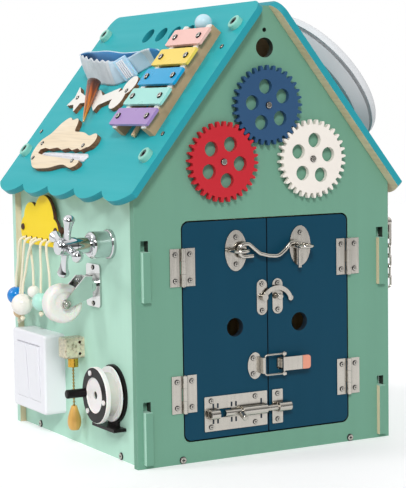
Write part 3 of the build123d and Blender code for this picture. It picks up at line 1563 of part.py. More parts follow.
with BuildPart() as chain_slider:
    with Locations(at(right, track_a, slider_mid, track_wall + slider_play)):
        Box(track_width - 2 * track_wall - 2 * slider_play, slider_height, slider_depth, align=stand)
        Box(slider_neck, slider_height, track_depth, align=stand)
    with Locations(at(right, track_a, slider_mid, track_depth + slider_play)):
        Cylinder(slider_knob_radius, slider_knob_top - track_depth - slider_play, align=stand)
    with Locations(at(right, track_a, (tab_low + slider_mid) / 2, tab_lift)):
        Box(tab_width, slider_mid - tab_low, tab_thickness)
    with Locations(at(right, track_a, tab_low + tab_hole_rise, tab_lift)):
        Cylinder(tab_hole_radius, tab_thickness * 2, mode=Mode.SUBTRACT)
    for link in links:
        add(link)

# Fasteners of the house and of each door
with BuildPart() as house_screws:
    with Locations(*base_places):
        add(long_screw)
    with Locations(*bolt_places):
        add(roof_bolt)
    with Locations(*roof_screw_places):
        add(flush_screw)
    with Locations(*gear_places):
        add(gear_stud)
    with Locations(*frame_hinge_places, *caster_places, *reel_places, *croc_places, *bone_places):
        add(small_screw)
    with Locations(*cloud_places):
        add(wide_screw)
    with Locations(*bar_places):
        add(bar_screw)

with BuildPart() as left_door_screws:
    for places in (left_leaf_places, left_eye_places, swing_places, strike_places, bolt_housing_places):
        with Locations(*places):
            add(small_screw)

with BuildPart() as right_door_screws:
    for places in (right_leaf_places, right_eye_places, keeper_places, toggle_places, bolt_strike_places):
        with Locations(*places):
            add(small_screw)

nodes = {
    "front_panel": front_panel, "back_panel": back_panel, "left_wall": left_wall, "right_wall": right_wall,
    "base_panel": base_panel, "left_roof": left_roof, "right_roof": right_roof, "roof_caps": roof_caps,
    "house_screws": house_screws, "frame_hinge_leaves": frame_hinge_leaves, "left_door": left_door,
    "left_hinge_leaves": left_hinge_leaves, "left_eye": left_eye, "swing_plate": swing_plate,
    "toggle_strike": toggle_strike, "bolt_housing": bolt_housing, "left_door_screws": left_door_screws,
    "right_door": right_door, "right_hinge_leaves": right_hinge_leaves, "right_eye": right_eye,
    "swing_keeper": swing_keeper, "toggle_base": toggle_base, "bolt_strike": bolt_strike,
    "right_door_screws": right_door_screws, "cabin_hook": cabin_hook, "swing_lever": swing_lever,
    "toggle_lever": toggle_lever, "toggle_bail": toggle_bail, "bolt_rod": bolt_rod, "blue_gear": blue_gear,
    "red_gear": red_gear, "white_gear": white_gear, "tap_base": tap_base, "tap_handle": tap_handle,
    "caster_plate": caster_plate, "caster_fork": caster_fork, "caster_wheel": caster_wheel,
    "switch_box": switch_box, "rocker_front": rocker_front, "rocker_rear": rocker_rear,
    "pull_switch": pull_switch, "pull_cord": pull_cord, "reel_frame": reel_frame, "reel_spool": reel_spool,
    "cloud": cloud, "bead_strings": bead_strings, "beads": beads, "xylophone_rails": xylophone_rails,
    "xylophone_bars": xylophone_bars, "mallet": mallet, "crocodile": crocodile, "zip_tape": zip_tape,
    "bone_cutout": bone_cutout, "brown_cone": brown_cone, "fabric_loop": fabric_loop,
    "loop_clasp": loop_clasp, "lamp_base": lamp_base, "lamp_dome": lamp_dome, "chain_track": chain_track,
    "chain_slider": chain_slider,
}
for name, node in nodes.items():
    node.part.label = name
    export_step(node.part, f"parts/{name}.step")
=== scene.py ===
import math

import bpy
from mathutils import Matrix, Vector
from mathutils.kdtree import KDTree


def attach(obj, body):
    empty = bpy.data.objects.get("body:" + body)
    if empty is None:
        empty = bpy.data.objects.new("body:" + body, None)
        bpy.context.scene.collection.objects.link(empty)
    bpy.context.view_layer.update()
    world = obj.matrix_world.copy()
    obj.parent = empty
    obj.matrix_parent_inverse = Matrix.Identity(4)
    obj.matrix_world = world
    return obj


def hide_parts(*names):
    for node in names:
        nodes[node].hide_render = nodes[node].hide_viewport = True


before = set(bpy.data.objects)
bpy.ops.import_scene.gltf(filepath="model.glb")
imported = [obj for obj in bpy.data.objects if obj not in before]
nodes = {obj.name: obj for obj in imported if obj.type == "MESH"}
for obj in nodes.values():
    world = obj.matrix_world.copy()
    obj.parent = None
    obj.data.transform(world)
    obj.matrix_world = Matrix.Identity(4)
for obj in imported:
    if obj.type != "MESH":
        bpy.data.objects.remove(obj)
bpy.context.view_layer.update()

MM = 0.001

# The left roof's own axes: a runs to the front, s up the slope, h off the board, all in mm
roof_pitch = math.radians(51.34)
up_slope = Vector((math.cos(roof_pitch), 0, math.sin(roof_pitch)))
off_roof = Vector((-math.sin(roof_pitch), 0, math.cos(roof_pitch)))
off_right_roof = Vector((math.sin(roof_pitch), 0, math.cos(roof_pitch)))
to_front = Vector((0, -1, 0))
roof_foot = Vector((-0.15547, 0, 0.27537))


def on_roof(a, s, h=0.0):
    """Point of the left roof in the frame's metres."""
    return roof_foot + MM * (a * to_front + s * up_slope + h * off_roof)


def roof_place(point):
    """Local a, s and h of a point of the left roof, in mm."""
    offset = (point - roof_foot) / MM
    return offset.dot(to_front), offset.dot(up_slope), offset.dot(off_roof)


# Colours and shader nodes


def srgb(red, green, blue):
    """Linear colour of three 8-bit sRGB values."""
    shares = [value / 255 for value in (red, green, blue)]
    linear = [v / 12.92 if v <= 0.04045 else ((v + 0.055) / 1.055) ** 2.4 for v in shares]
    return (*linear, 1.0)


def shade(colour, factor):
    """The colour made darker or lighter by a factor."""
    return (*[min(1.0, value * factor) for value in colour[:3]], 1.0)


def start(name):
    """A new material with its tree and its principled shader."""
    material = bpy.data.materials.new(name)
    material.use_nodes = True
    return material, material.node_tree, material.node_tree.nodes["Principled BSDF"]


def node(tree, kind):
    """A new shader node of a kind."""
    return tree.nodes.new("ShaderNode" + kind)


def feed(tree, socket, value):
    """Links a socket to an output, or sets it to a constant."""
    if isinstance(value, bpy.types.NodeSocket):
        tree.links.new(value, socket)
    else:
        socket.default_value = value


def span(tree, factor, low, high, from_low=0.0, from_high=1.0):
    """A factor between two values turned into low to high, and held there outside them."""
    remap = node(tree, "MapRange")
    remap.inputs["From Min"].default_value = from_low
    remap.inputs["From Max"].default_value = from_high
    remap.inputs["To Min"].default_value = low
    remap.inputs["To Max"].default_value = high
    tree.links.new(factor, remap.inputs["Value"])
    return remap.outputs["Result"]


def textured(tree, texture_kind, scale, stretch, swirl, kind):
    """A texture over the piece, on coordinates that are stretched."""
    coords = node(tree, "TexCoord")
    mapping = node(tree, "Mapping")
    texture = node(tree, texture_kind)
    mapping.inputs["Scale"].default_value = stretch
    texture.inputs["Scale"].default_value = scale
    texture.inputs["Distortion"].default_value = swirl
    tree.links.new(coords.outputs[kind], mapping.inputs["Vector"])
    tree.links.new(mapping.outputs["Vector"], texture.inputs["Vector"])
    return texture


def speckle(tree, scale, detail=4.0, stretch=(1, 1, 1), low=0.3, high=0.7, swirl=0.0, kind="Object"):
    """Noise over the piece, remapped so that low to high becomes 0 to 1."""
    texture = textured(tree, "TexNoise", scale, stretch, swirl, kind)
    texture.inputs["Detail"].default_value = detail
    return span(tree, texture.outputs["Fac"], 0.0, 1.0, low, high)


def stripes(tree, scale, stretch):
    """Soft bands in a piece's own u and v, from 0 to 1."""
    return textured(tree, "TexWave", scale, stretch, 0.0, "UV").outputs["Fac"]


def blend(tree, factor, first, second):
    """Mix of two colours."""
    item = node(tree, "Mix")
    item.data_type = "RGBA"
    feed(tree, item.inputs[0], factor)
    feed(tree, item.inputs[6], first)
    feed(tree, item.inputs[7], second)
    return item.outputs[2]


# Cosines between the face and its rounded normal where an edge starts to show and where it shows fully
edge_start = 0.995
edge_full = 0.85


def edges(tree, radius):
    """1 along sharp edges, fading to 0 within the radius."""
    bevel = node(tree, "Bevel")
    geometry = node(tree, "NewGeometry")
    product = node(tree, "VectorMath")
    bevel.samples = 4
    bevel.inputs["Radius"].default_value = radius
    product.operation = "DOT_PRODUCT"
    tree.links.new(bevel.outputs["Normal"], product.inputs[0])
    tree.links.new(geometry.outputs["Normal"], product.inputs[1])
    return span(tree, product.outputs["Value"], 0.0, 1.0, edge_start, edge_full)


def surface(tree, shader, tone, factor, rough, *layers):
    """Colour, roughness over a factor, and bumps: each a height, its depth in metres and its strength."""
    feed(tree, shader.inputs["Base Color"], tone)
    feed(tree, shader.inputs["Roughness"], span(tree, factor, *rough))
    normal = None
    for height, depth, strength in layers:
        item = node(tree, "Bump")
        item.inputs["Distance"].default_value = depth
        item.inputs["Strength"].default_value = strength
        tree.links.new(height, item.inputs["Height"])
        if normal is not None:
            tree.links.new(normal, item.inputs["Normal"])
        normal = item.outputs["Normal"]
    tree.links.new(normal, shader.inputs["Normal"])


# Materials


def painted(name, paint, stretch=(1, 1, 1), rough=(0.38, 0.5), worn=1.25):
    """Sprayed board paint with faint grain below it, fine orange peel and lightly rubbed edges."""
    material, tree, shader = start(name)
    cloudy = speckle(tree, 11, 3)
    grain = speckle(tree, 70, 6, stretch)
    peel = speckle(tree, 1100, 2)
    tone = blend(tree, span(tree, cloudy, 0.0, 0.5), paint, shade(paint, 0.92))
    tone = blend(tree, span(tree, grain, 0.0, 0.3), tone, shade(paint, 0.86))
    tone = blend(tree, span(tree, edges(tree, 0.0008), 0.0, 0.55), tone, shade(paint, worn))
    shader.inputs["Specular IOR Level"].default_value = 0.16
    surface(tree, shader, tone, grain, rough, (peel, 0.00006, 0.35), (grain, 0.00012, 0.3))
    return material


def wood(name, light, dark, stretch, rough=(0.5, 0.7), coat=0.0):
    """Bare or oiled wood with long grain along the axis whose stretch is small."""
    material, tree, shader = start(name)
    grain = speckle(tree, 45, 7, stretch, 0.28, 0.72, 0.8)
    pores = speckle(tree, 420, 3, stretch, 0.45, 0.75)
    cloudy = speckle(tree, 9, 2)
    tone = blend(tree, grain, light, dark)
    tone = blend(tree, span(tree, pores, 0.0, 0.4), tone, shade(dark, 0.7))
    tone = blend(tree, span(tree, cloudy, 0.0, 0.25), tone, shade(light, 0.85))
    tone = blend(tree, span(tree, edges(tree, 0.0006), 0.0, 0.35), tone, shade(light, 1.1))
    shader.inputs["Coat Weight"].default_value = coat
    surface(tree, shader, tone, grain, rough, (grain, 0.00015, 0.35), (pores, 0.00008, 0.3))
    return material


def scorch_and_shade_streaks(name, char_and_hole_shade, ember):
    """Streaked edge tone: laser-cut scorch across a board's thickness, and also painted shade on cut-out
    edges, door edges, bolt slots and the pull switch's holes.
    """
    material, tree, shader = start(name)
    streak = speckle(tree, 260, 4)
    surface(tree, shader, blend(tree, streak, char_and_hole_shade, ember), streak, (0.55, 0.8), (streak, 0.0001, 0.4))
    return material


# Reach in metres of the painted shade in a metal piece's nooks, and how dark that painted shade gets
painted_shade_reach = 0.004
painted_shade_tone = 0.3


def metal(name, colour, rough, stretch=(1, 1, 1), scratch=0.25, worn=1.15):
    """Plated sheet or wire with fine directional polish, small dents, bright edges and painted shade in its
    nooks.
    """
    material, tree, shader = start(name)
    polish = speckle(tree, 500, 3, stretch)
    stain = speckle(tree, 60, 4)
    tone = blend(tree, span(tree, stain, 0.0, 0.5), colour, shade(colour, 0.88))
    tone = blend(tree, span(tree, edges(tree, 0.0005), 0.0, 0.6), tone, shade(colour, worn))
    # Painted shade: ambient occlusion darkens the colour in nooks and along contact lines between parts
    nook_painted_shade = node(tree, "AmbientOcclusion")
    nook_painted_shade.inputs["Distance"].default_value = painted_shade_reach
    tone = blend(tree, nook_painted_shade.outputs["AO"], shade(colour, painted_shade_tone), tone)
    shader.inputs["Metallic"].default_value = 1.0
    surface(tree, shader, tone, polish, rough, (polish, 0.000004, scratch))
    return material


def plastic(name, colour, rough=(0.2, 0.3), mottle=0.12, grain=0.2, coat=0.0, soft=0.0, shine=0.3):
    """Moulded plastic with slight tone changes, a fine moulded grain and some depth."""
    material, tree, shader = start(name)
    cloudy = speckle(tree, 30, 3)
    fine = speckle(tree, 1300, 2)
    tone = blend(tree, span(tree, cloudy, 0.0, mottle), colour, shade(colour, 0.7))
    tone = blend(tree, span(tree, edges(tree, 0.0005), 0.0, 0.3), tone, shade(colour, 1.15))
    shader.inputs["Specular IOR Level"].default_value = shine
    shader.inputs["Coat Weight"].default_value = coat
    shader.inputs["Subsurface Weight"].default_value = soft
    shader.inputs["Subsurface Scale"].default_value = 0.004
    surface(tree, shader, tone, cloudy, rough, (fine, 0.00003, grain))
    return material


def speckled(name, colour, fleck):
    """Pressed granular plastic: flecks of a darker tone and a pitted skin."""
    material, tree, shader = start(name)
    flecks = speckle(tree, 420, 3, (1, 1, 1), 0.5, 0.68)
    pale = speckle(tree, 260, 3, (1, 1, 1), 0.52, 0.7)
    tone = blend(tree, span(tree, flecks, 0.0, 0.75), colour, fleck)
    tone = blend(tree, span(tree, pale, 0.0, 0.6), tone, shade(colour, 1.3))
    shader.inputs["Subsurface Weight"].default_value = 0.15
    shader.inputs["Subsurface Scale"].default_value = 0.003
    surface(tree, shader, tone, flecks, (0.25, 0.45), (flecks, 0.0001, 0.3))
    return material


def woven(name, colour, thread, pitch, sheen=0.2):
    """Woven band: crossing threads in the band's own u and v, which are in metres."""
    material, tree, shader = start(name)
    bands = 1 / pitch / (2 * math.pi)
    warp = stripes(tree, bands, (1, 0, 0))
    weft = stripes(tree, bands, (0, 1, 0))
    crossing = blend(tree, 0.5, warp, weft)
    fuzz = speckle(tree, 900, 3)
    tone = blend(tree, crossing, shade(colour, 0.82), thread)
    tone = blend(tree, span(tree, fuzz, 0.0, 0.25), tone, colour)
    shader.inputs["Sheen Weight"].default_value = sheen
    surface(tree, shader, tone, fuzz, (0.6, 0.85), (crossing, 0.0002, 0.5), (fuzz, 0.00006, 0.3))
    return material


def cotton(name, colour):
    """Twisted cotton: fibre fuzz and soft shade between the strands."""
    material, tree, shader = start(name)
    fibre = speckle(tree, 1500, 4, (1, 1, 0.3))
    cloudy = speckle(tree, 120, 2)
    tone = blend(tree, span(tree, fibre, 0.0, 0.35), colour, shade(colour, 0.75))
    tone = blend(tree, span(tree, cloudy, 0.0, 0.2), tone, shade(colour, 1.1))
    shader.inputs["Sheen Weight"].default_value = 0.3
    surface(tree, shader, tone, fibre, (0.75, 0.92), (fibre, 0.0001, 0.5))
    return material


def horn(name):
    """Polished horn: dark at the wide end, amber at the tip, streaked along its length."""
    material, tree, shader = start(name)
    coords = node(tree, "TexCoord")
    parts = node(tree, "SeparateXYZ")
    ramp = node(tree, "ValToRGB")
    tree.links.new(coords.outputs["UV"], parts.inputs[0])
    tree.links.new(parts.outputs["Y"], ramp.inputs["Fac"])
    stops = (
        (0.0, srgb(240, 190, 100)), (0.2, srgb(226, 138, 44)),
        (0.7, srgb(186, 88, 22)), (0.93, srgb(70, 30, 12)),
    )
    ramp.color_ramp.elements.remove(ramp.color_ramp.elements[1])
    for place, colour in stops:
        stop = ramp.color_ramp.elements.new(place)
        stop.color = colour
    ramp.color_ramp.elements.remove(ramp.color_ramp.elements[0])
    streak = speckle(tree, 7, 3, (1.6, 0.12, 1), 0.44, 0.6, 0.3, "UV")
    tone = blend(tree, span(tree, streak, 0.0, 0.85), ramp.outputs["Color"], srgb(64, 26, 8))
    shader.inputs["Coat Weight"].default_value = 0.6
    surface(tree, shader, tone, streak, (0.12, 0.24), (streak, 0.00008, 0.2))
    return material


along_x = (0.05, 1, 1)
along_y = (1, 0.05, 1)
along_z = (1, 1, 0.05)

front_mint = painted("front_mint", srgb(112, 159, 137), along_z)
side_mint = painted("side_mint", srgb(183, 224, 205), along_z)
teal = painted("teal", srgb(44, 172, 179), along_y)
teal_edge = painted("teal_edge", srgb(42, 152, 164), along_y)
navy = painted("navy", srgb(8, 64, 86), along_z, (0.34, 0.46), 1.6)
blue_paint = painted("blue_paint", srgb(48, 82, 118), along_x, (0.4, 0.52), 1.4)
red_paint = painted("red_paint", srgb(194, 42, 52), along_x, (0.36, 0.48))
white_paint = painted("white_paint", srgb(238, 231, 222), along_x, (0.4, 0.52), 1.05)
yellow = painted("yellow", srgb(250, 218, 30), along_y, (0.34, 0.46), 1.1)
bone_white = painted("bone_white", srgb(240, 236, 228), along_y, (0.4, 0.52), 1.05)
raw = wood("raw", srgb(240, 227, 196), srgb(220, 198, 160), along_z)
raw_roof = wood("raw_roof", srgb(240, 225, 192), srgb(222, 202, 162), along_y)
cut_wood = wood("cut_wood", srgb(243, 229, 204), srgb(226, 204, 170), along_y)
rail_wood = wood("rail_wood", srgb(206, 172, 134), srgb(148, 118, 86), (0.2, 1, 0.2))
stick_wood = wood("stick_wood", srgb(226, 196, 150), srgb(196, 156, 106), along_z, coat=0.1)
knob_wood = wood("knob_wood", srgb(236, 192, 104), srgb(208, 152, 66), along_z, (0.28, 0.42), 0.3)
# The first dark streaked tone is the scorched cloud edges and cloud screws, and also painted shade inside
# the pull switch's holes
char_and_hole_shade = scorch_and_shade_streaks("char_and_hole_shade", srgb(44, 24, 16), srgb(96, 54, 32))
brown_edge = scorch_and_shade_streaks("brown_edge", srgb(92, 56, 36), srgb(150, 104, 68))
# Painted shade for the edges of the front board's cut-outs
painted_cut_shade = scorch_and_shade_streaks("painted_cut_shade", srgb(30, 38, 34), srgb(58, 70, 60))
# Painted shade for the door edges and the bolt's slots
painted_navy_shade = scorch_and_shade_streaks("painted_navy_shade", srgb(12, 28, 40), srgb(20, 44, 60))
steel = metal("steel", srgb(200, 195, 186), (0.15, 0.26), (1, 1, 0.06))
zinc = metal("zinc", srgb(220, 222, 220), (0.08, 0.16), scratch=0.05)
screw_steel = metal("screw_steel", srgb(196, 192, 184), (0.16, 0.28))
# Dark steel is the roof bolts' own colour, and also painted shade on screw flanks and slot floors
dark_steel_and_painted_shade = metal("dark_steel_and_painted_shade", srgb(58, 56, 58), (0.3, 0.45))
brass = metal("brass", srgb(214, 168, 70), (0.18, 0.34))
chain_brass = metal("chain_brass", srgb(160, 140, 86), (0.25, 0.4))
chrome = metal("chrome", srgb(214, 216, 218), (0.03, 0.08), scratch=0.03)
cap_mint = plastic("cap_mint", srgb(142, 206, 190), (0.3, 0.42))
# Switch white also colours the light-blue clasp's ribs as a painted highlight
switch_white_and_rib_highlight = plastic("switch_white_and_rib_highlight", srgb(232, 232, 237), (0.3, 0.34), 0.03, 0.1)
beige = speckled("beige", srgb(204, 198, 172), srgb(104, 94, 70))
black = plastic("black", srgb(24, 21, 22), (0.28, 0.4), 0.3, 0.3, shine=0.14)
reel_white = plastic("reel_white", srgb(238, 234, 232), (0.25, 0.35), 0.1, 0.2, 0.0, 0.15)
drum_clear = plastic("drum_clear", srgb(206, 206, 198), (0.2, 0.32), 0.25, 0.2, 0.1, 0.2)
nylon = plastic("nylon", srgb(234, 232, 226), (0.3, 0.42), 0.12, 0.25, 0.0, 0.35)
salmon = plastic("salmon", srgb(222, 150, 126), (0.3, 0.42), 0.2)
lamp_light = plastic("lamp_light", srgb(218, 220, 222), (0.3, 0.42), 0.1)
lamp_dark = plastic("lamp_dark", srgb(190, 192, 194), (0.35, 0.5), 0.15)
pale_ball = plastic("pale_ball", srgb(190, 222, 232), (0.18, 0.28), 0.08, 0.1, 0.2)
clasp_blue = plastic("clasp_blue", srgb(186, 222, 244), (0.2, 0.32), 0.15, 0.2, 0.1, 0.2)
felt = cotton("felt", srgb(238, 236, 228))
string_cotton = cotton("string_cotton", srgb(240, 230, 206))
tape_white = woven("tape_white", srgb(238, 238, 242), srgb(252, 252, 252), 0.0007)
loop_outside = woven("loop_outside", srgb(196, 226, 244), srgb(226, 240, 250), 0.0009)
loop_grey = woven("loop_grey", srgb(214, 222, 228), srgb(238, 242, 244), 0.0012)
loop_inside = woven("loop_inside", srgb(40, 128, 190), srgb(70, 156, 212), 0.0009)
bead_blue = plastic("bead_blue", srgb(0, 126, 206), (0.12, 0.22), 0.15, 0.1, 0.5)
bead_white = plastic("bead_white", srgb(238, 234, 226), (0.16, 0.26), 0.08, 0.1, 0.4)
bead_mint = plastic("bead_mint", srgb(176, 226, 212), (0.16, 0.26), 0.08, 0.1, 0.4)
bead_wood = wood("bead_wood", srgb(232, 204, 160), srgb(206, 166, 116), along_z, (0.3, 0.42), 0.3)
horn_brown = horn("horn_brown")
bar_colours = (
    ("pink", srgb(238, 190, 180)), ("yellow", srgb(240, 210, 92)), ("blue", srgb(14, 158, 208)),
    ("mint", srgb(160, 220, 210)), ("purple", srgb(164, 134, 190)),
)
bar_paints = [plastic(f"bar_{name}", colour, (0.26, 0.34), 0.05, 0.1) for name, colour in bar_colours]


# Materials on the CAD nodes


def dress(name, base, *rules):
    """Gives a node its base material, and each face the material of the first rule it meets."""
    mesh = nodes[name].data
    mesh.materials.clear()
    mesh.materials.append(base)
    for material, test in rules:
        mesh.materials.append(material)
    for face in mesh.polygons:
        face.material_index = 0
        for index, (material, test) in enumerate(rules, 1):
            if test(face.center, face.normal):
                face.material_index = index
                break


def facing(direction, least=0.7):
    """Rule for faces that look in a direction."""
    aim = Vector(direction)
    return lambda centre, normal: normal.dot(aim) > least


def across(direction, most=0.5):
    """Rule for faces that stand square to a direction, such as a board's edges."""
    aim = Vector(direction)
    return lambda centre, normal: abs(normal.dot(aim)) < most


def wall_place(point):
    """Local a and z of a point of the left wall, in mm."""
    return -point.y / MM, point.z / MM


# Places on the left wall and on the roofs, in mm along their own axes, and x of the wall in metres
cloud_screw_spots = ((-118.0, 223.0), (-31.0, 223.0))
cloud_screw_reach = 5.0
reel_a, reel_z = 87.0, 66.0
wall_x = -0.143
wall_inside = -0.13
roof_bolt_reach = 146.0
roof_bolt_slopes = (38.0, 202.0)
roof_bolt_near = 7.0


def near_wall(spots, reach):
    """Rule for faces near given spots of the left wall."""
    def test(centre, normal):
        a, z = wall_place(centre)
        close = any(math.hypot(a - u, z - v) < reach for u, v in spots)
        return close and centre.x < wall_inside
    return test


def roof_bolt(centre, normal):
    """Rule for the dark bolts in the caps of both roofs."""
    a, s = roof_place(Vector((-abs(centre.x), centre.y, centre.z)))[:2]
    off_slope = min(abs(s - v) for v in roof_bolt_slopes)
    return abs(abs(a) - roof_bolt_reach) < roof_bolt_near and off_slope < roof_bolt_near


def reel_ring(low, high, lift=0.0):
    """Rule for faces of the reel between two radii and above a lift off the wall."""
    def test(centre, normal):
        a, z = wall_place(centre)
        radius = math.hypot(a - reel_a, z - reel_z)
        return low < radius < high and (wall_x - centre.x) / MM > lift
    return test


def reel_face(low, high, lift):
    """Rule for faces of the reel that look outwards, between two radii and above a lift off the wall."""
    ring = reel_ring(low, high, lift)
    return lambda centre, normal: ring(centre, normal) and normal.x < -0.5


# The front board's outline in metres, and how far inside it a cut-out's edges lie
eave_z = 0.271
half_width = 0.150
board_edge = 0.1495
top_cut = 0.455
foot_gap = 0.001
slope_gap = 0.002


def cut_edge_shade(centre, normal):
    """Rule for the edges of the cut-outs inside the front board, not for its outline: these get painted
    shade.
    """
    roof_line = eave_z + (half_width - abs(centre.x)) * math.tan(roof_pitch)
    inside = abs(centre.x) < board_edge and foot_gap < centre.z < min(roof_line - slope_gap, top_cut)
    return inside and abs(normal.y) < 0.5


# The cut-out edges get painted shade
dress("front_panel", front_mint, (raw, facing((0, 1, 0))), (painted_cut_shade, cut_edge_shade))
dress("back_panel", side_mint, (raw, facing((0, -1, 0))))
dress("left_wall", side_mint, (raw, facing((1, 0, 0))), (front_mint, facing((0, -1, 0))))
dress("right_wall", side_mint, (raw, facing((-1, 0, 0))), (front_mint, facing((0, -1, 0))))
dress("left_roof", teal, (raw_roof, facing(-off_roof)), (teal_edge, across(off_roof)))
dress("right_roof", teal, (raw_roof, facing(-off_right_roof)), (teal_edge, across(off_right_roof)))
# Door edges, round the doors and in their finger holes, get painted shade
for name in ("left_door", "right_door"):
    dress(name, navy, (raw, facing((0, 1, 0))), (painted_navy_shade, across((0, 1, 0))))

# Screw heads, whose flanks and slot floors get painted shade: lowest z of those in the roofs, cosines that
# tell a head's flanks and its slot's floor, the reach of a head and the least depth of its slot
roof_screw_z = 0.274
flank_most = 0.85
floor_least = 0.9
head_reach = 0.0024
slot_least = 0.00028


def screw_axis(centre):
    """Direction that a screw's head looks in, from where the screw is."""
    if abs(centre.y) > board_edge:
        return to_front if centre.y < 0 else -to_front
    if centre.z > roof_screw_z:
        return off_roof if centre.x < 0 else off_right_roof
    return Vector((1 if centre.x > 0 else -1, 0, 0))


def screw_flank_shade(centre, normal):
    """Rule for the flanks of the screw heads and of their slots, which get painted shade."""
    return abs(normal.dot(screw_axis(centre))) < flank_most


def slot_floor_shade(name):
    """Rule for the bottoms of a node's screw slots, which lie below the head around them and get painted
    shade.
    """
    faces = nodes[name].data.polygons
    tree = KDTree(len(faces))
    for face in faces:
        tree.insert(face.center, face.index)
    tree.balance()

    def test(centre, normal):
        axis = screw_axis(centre)
        if normal.dot(axis) < floor_least:
            return False
        around = tree.find_range(centre, head_reach)
        return max((found[0] - centre).dot(axis) for found in around) > slot_least
    return test


# Roof bolts are dark steel; the flanks and slot floors of all screw heads get painted shade in dark steel
dress(
    "house_screws", screw_steel, (dark_steel_and_painted_shade, roof_bolt),
    (char_and_hole_shade, near_wall(cloud_screw_spots, cloud_screw_reach)), (dark_steel_and_painted_shade, screw_flank_shade),
    (dark_steel_and_painted_shade, slot_floor_shade("house_screws")),
)
for name in ("left_door_screws", "right_door_screws"):
    dress(name, screw_steel, (dark_steel_and_painted_shade, screw_flank_shade), (dark_steel_and_painted_shade, slot_floor_shade(name)))

steel_nodes = (
    "frame_hinge_leaves", "left_hinge_leaves", "right_hinge_leaves", "left_eye", "right_eye", "swing_plate",
    "swing_keeper", "swing_lever", "toggle_strike", "toggle_base", "toggle_bail", "bolt_housing",
    "bolt_strike", "bolt_rod", "cabin_hook", "chain_track", "chain_slider",
)
plain_looks = {
    "base_panel": raw, "roof_caps": cap_mint, "blue_gear": blue_paint, "red_gear": red_paint,
    "white_gear": white_paint, "tap_base": chrome, "tap_handle": chrome, "caster_plate": zinc,
    "caster_fork": zinc, "caster_wheel": nylon, "switch_box": switch_white_and_rib_highlight, "rocker_front": switch_white_and_rib_highlight,
    "rocker_rear": switch_white_and_rib_highlight, "reel_frame": black, "lamp_base": lamp_dark, "lamp_dome": lamp_light,
}
for name in steel_nodes:
    dress(name, steel)
for name, look in plain_looks.items():
    dress(name, look)


def past_x(least):
    """Rule for faces beyond a given x."""
    return lambda centre, normal: centre.x > least


def below(height):
    """Rule for faces below a given height."""
    return lambda centre, normal: centre.z < height


# Where one look ends and the next begins, in metres: toggle tip, pull switch's collar, pull cord's knob
toggle_tip_x = 0.0361
collar_top = 0.0929
knob_top = 0.0431

# Holes in the pull switch's front side, whose insides get painted shade: x and z in mm, their reach, and the
# y that they lie in front of
pull_holes = ((-148.5, 98.0), (-148.5, 110.0))
pull_hole_reach = 1.62
pull_hole_y = -0.0115


def pull_hole_shade(centre, normal):
    """Rule for the insides of the two holes in the pull switch's front side, which get painted shade."""
    inside = any(math.hypot(centre.x / MM - x, centre.z / MM - z) < pull_hole_reach for x, z in pull_holes)
    return inside and centre.y < pull_hole_y


# Reel, in mm: the crank's lift, then radii and lift of the rivets' ring, the black face and both flanges
crank_lift = 24.5
rivet_ring = (20, 26, 23.2)
black_face = (17.8, 27.8, 17.5)
outer_flange = (0, 40, 17.8)
inner_flange = (22.3, 40)

dress("toggle_lever", steel, (salmon, past_x(toggle_tip_x)))
# The insides of the pull switch's holes get painted shade
dress("pull_switch", beige, (brass, below(collar_top)), (char_and_hole_shade, pull_hole_shade))
dress("pull_cord", chain_brass, (knob_wood, below(knob_top)))
dress(
    "reel_spool", drum_clear, (black, lambda centre, normal: (wall_x - centre.x) / MM > crank_lift),
    (reel_white, reel_ring(*rivet_ring)), (black, reel_face(*black_face)),
    (reel_white, reel_ring(*outer_flange)), (reel_white, reel_ring(*inner_flange)),
)
dress("cloud", yellow, (char_and_hole_shade, across((1, 0, 0))), (raw, facing((1, 0, 0))))

# Xylophone and mallet: lift of the felt, first bar and pitch of the bars in mm on the roof, then the ball
felt_lift = 12.05
bar_first, bar_pitch = 176.3, 25.3
ball_centre = on_roof(94.0, 199.8, 9.3)
ball_reach = 0.0092


def bar_rule(index):
    """Rule for the faces of one xylophone bar."""
    middle = bar_first - index * bar_pitch
    return lambda centre, normal: abs(roof_place(centre)[1] - middle) < bar_pitch / 2


bar_rules = [(paint, bar_rule(i)) for i, paint in enumerate(bar_paints)]
dress("xylophone_rails", rail_wood, (felt, lambda centre, normal: roof_place(centre)[2] > felt_lift))
dress("xylophone_bars", bar_paints[0], *bar_rules)
dress("mallet", stick_wood, (pale_ball, lambda centre, normal: (centre - ball_centre).length < ball_reach))
dress("crocodile", cut_wood, (brown_edge, across(off_roof)))
dress("bone_cutout", bone_white, (brown_edge, across(off_roof)))


# Meshes


def add_piece(name, points, faces, material, body, slot, smooth=True):
    """A new piece on a body; its slot argument is not used."""
    mesh = bpy.data.meshes.new(name)
    mesh.from_pydata([tuple(point) for point in points], [], faces)
    mesh.validate()
    mesh.materials.append(material)
    for face in mesh.polygons:
        face.use_smooth = smooth
    thing = bpy.data.objects.new(name, mesh)
    bpy.context.scene.collection.objects.link(thing)
    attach(thing, body)
    return thing


def ring_faces(rings, sides, wrap=False):
    """Quads between rings of points, all with the same number of sides."""
    pairs = [(i, i + 1) for i in range(rings - 1)] + ([(rings - 1, 0)] if wrap else [])
    return [
        (i * sides + k, i * sides + (k + 1) % sides, j * sides + (k + 1) % sides, j * sides + k)
        for i, j in pairs for k in range(sides)
    ]


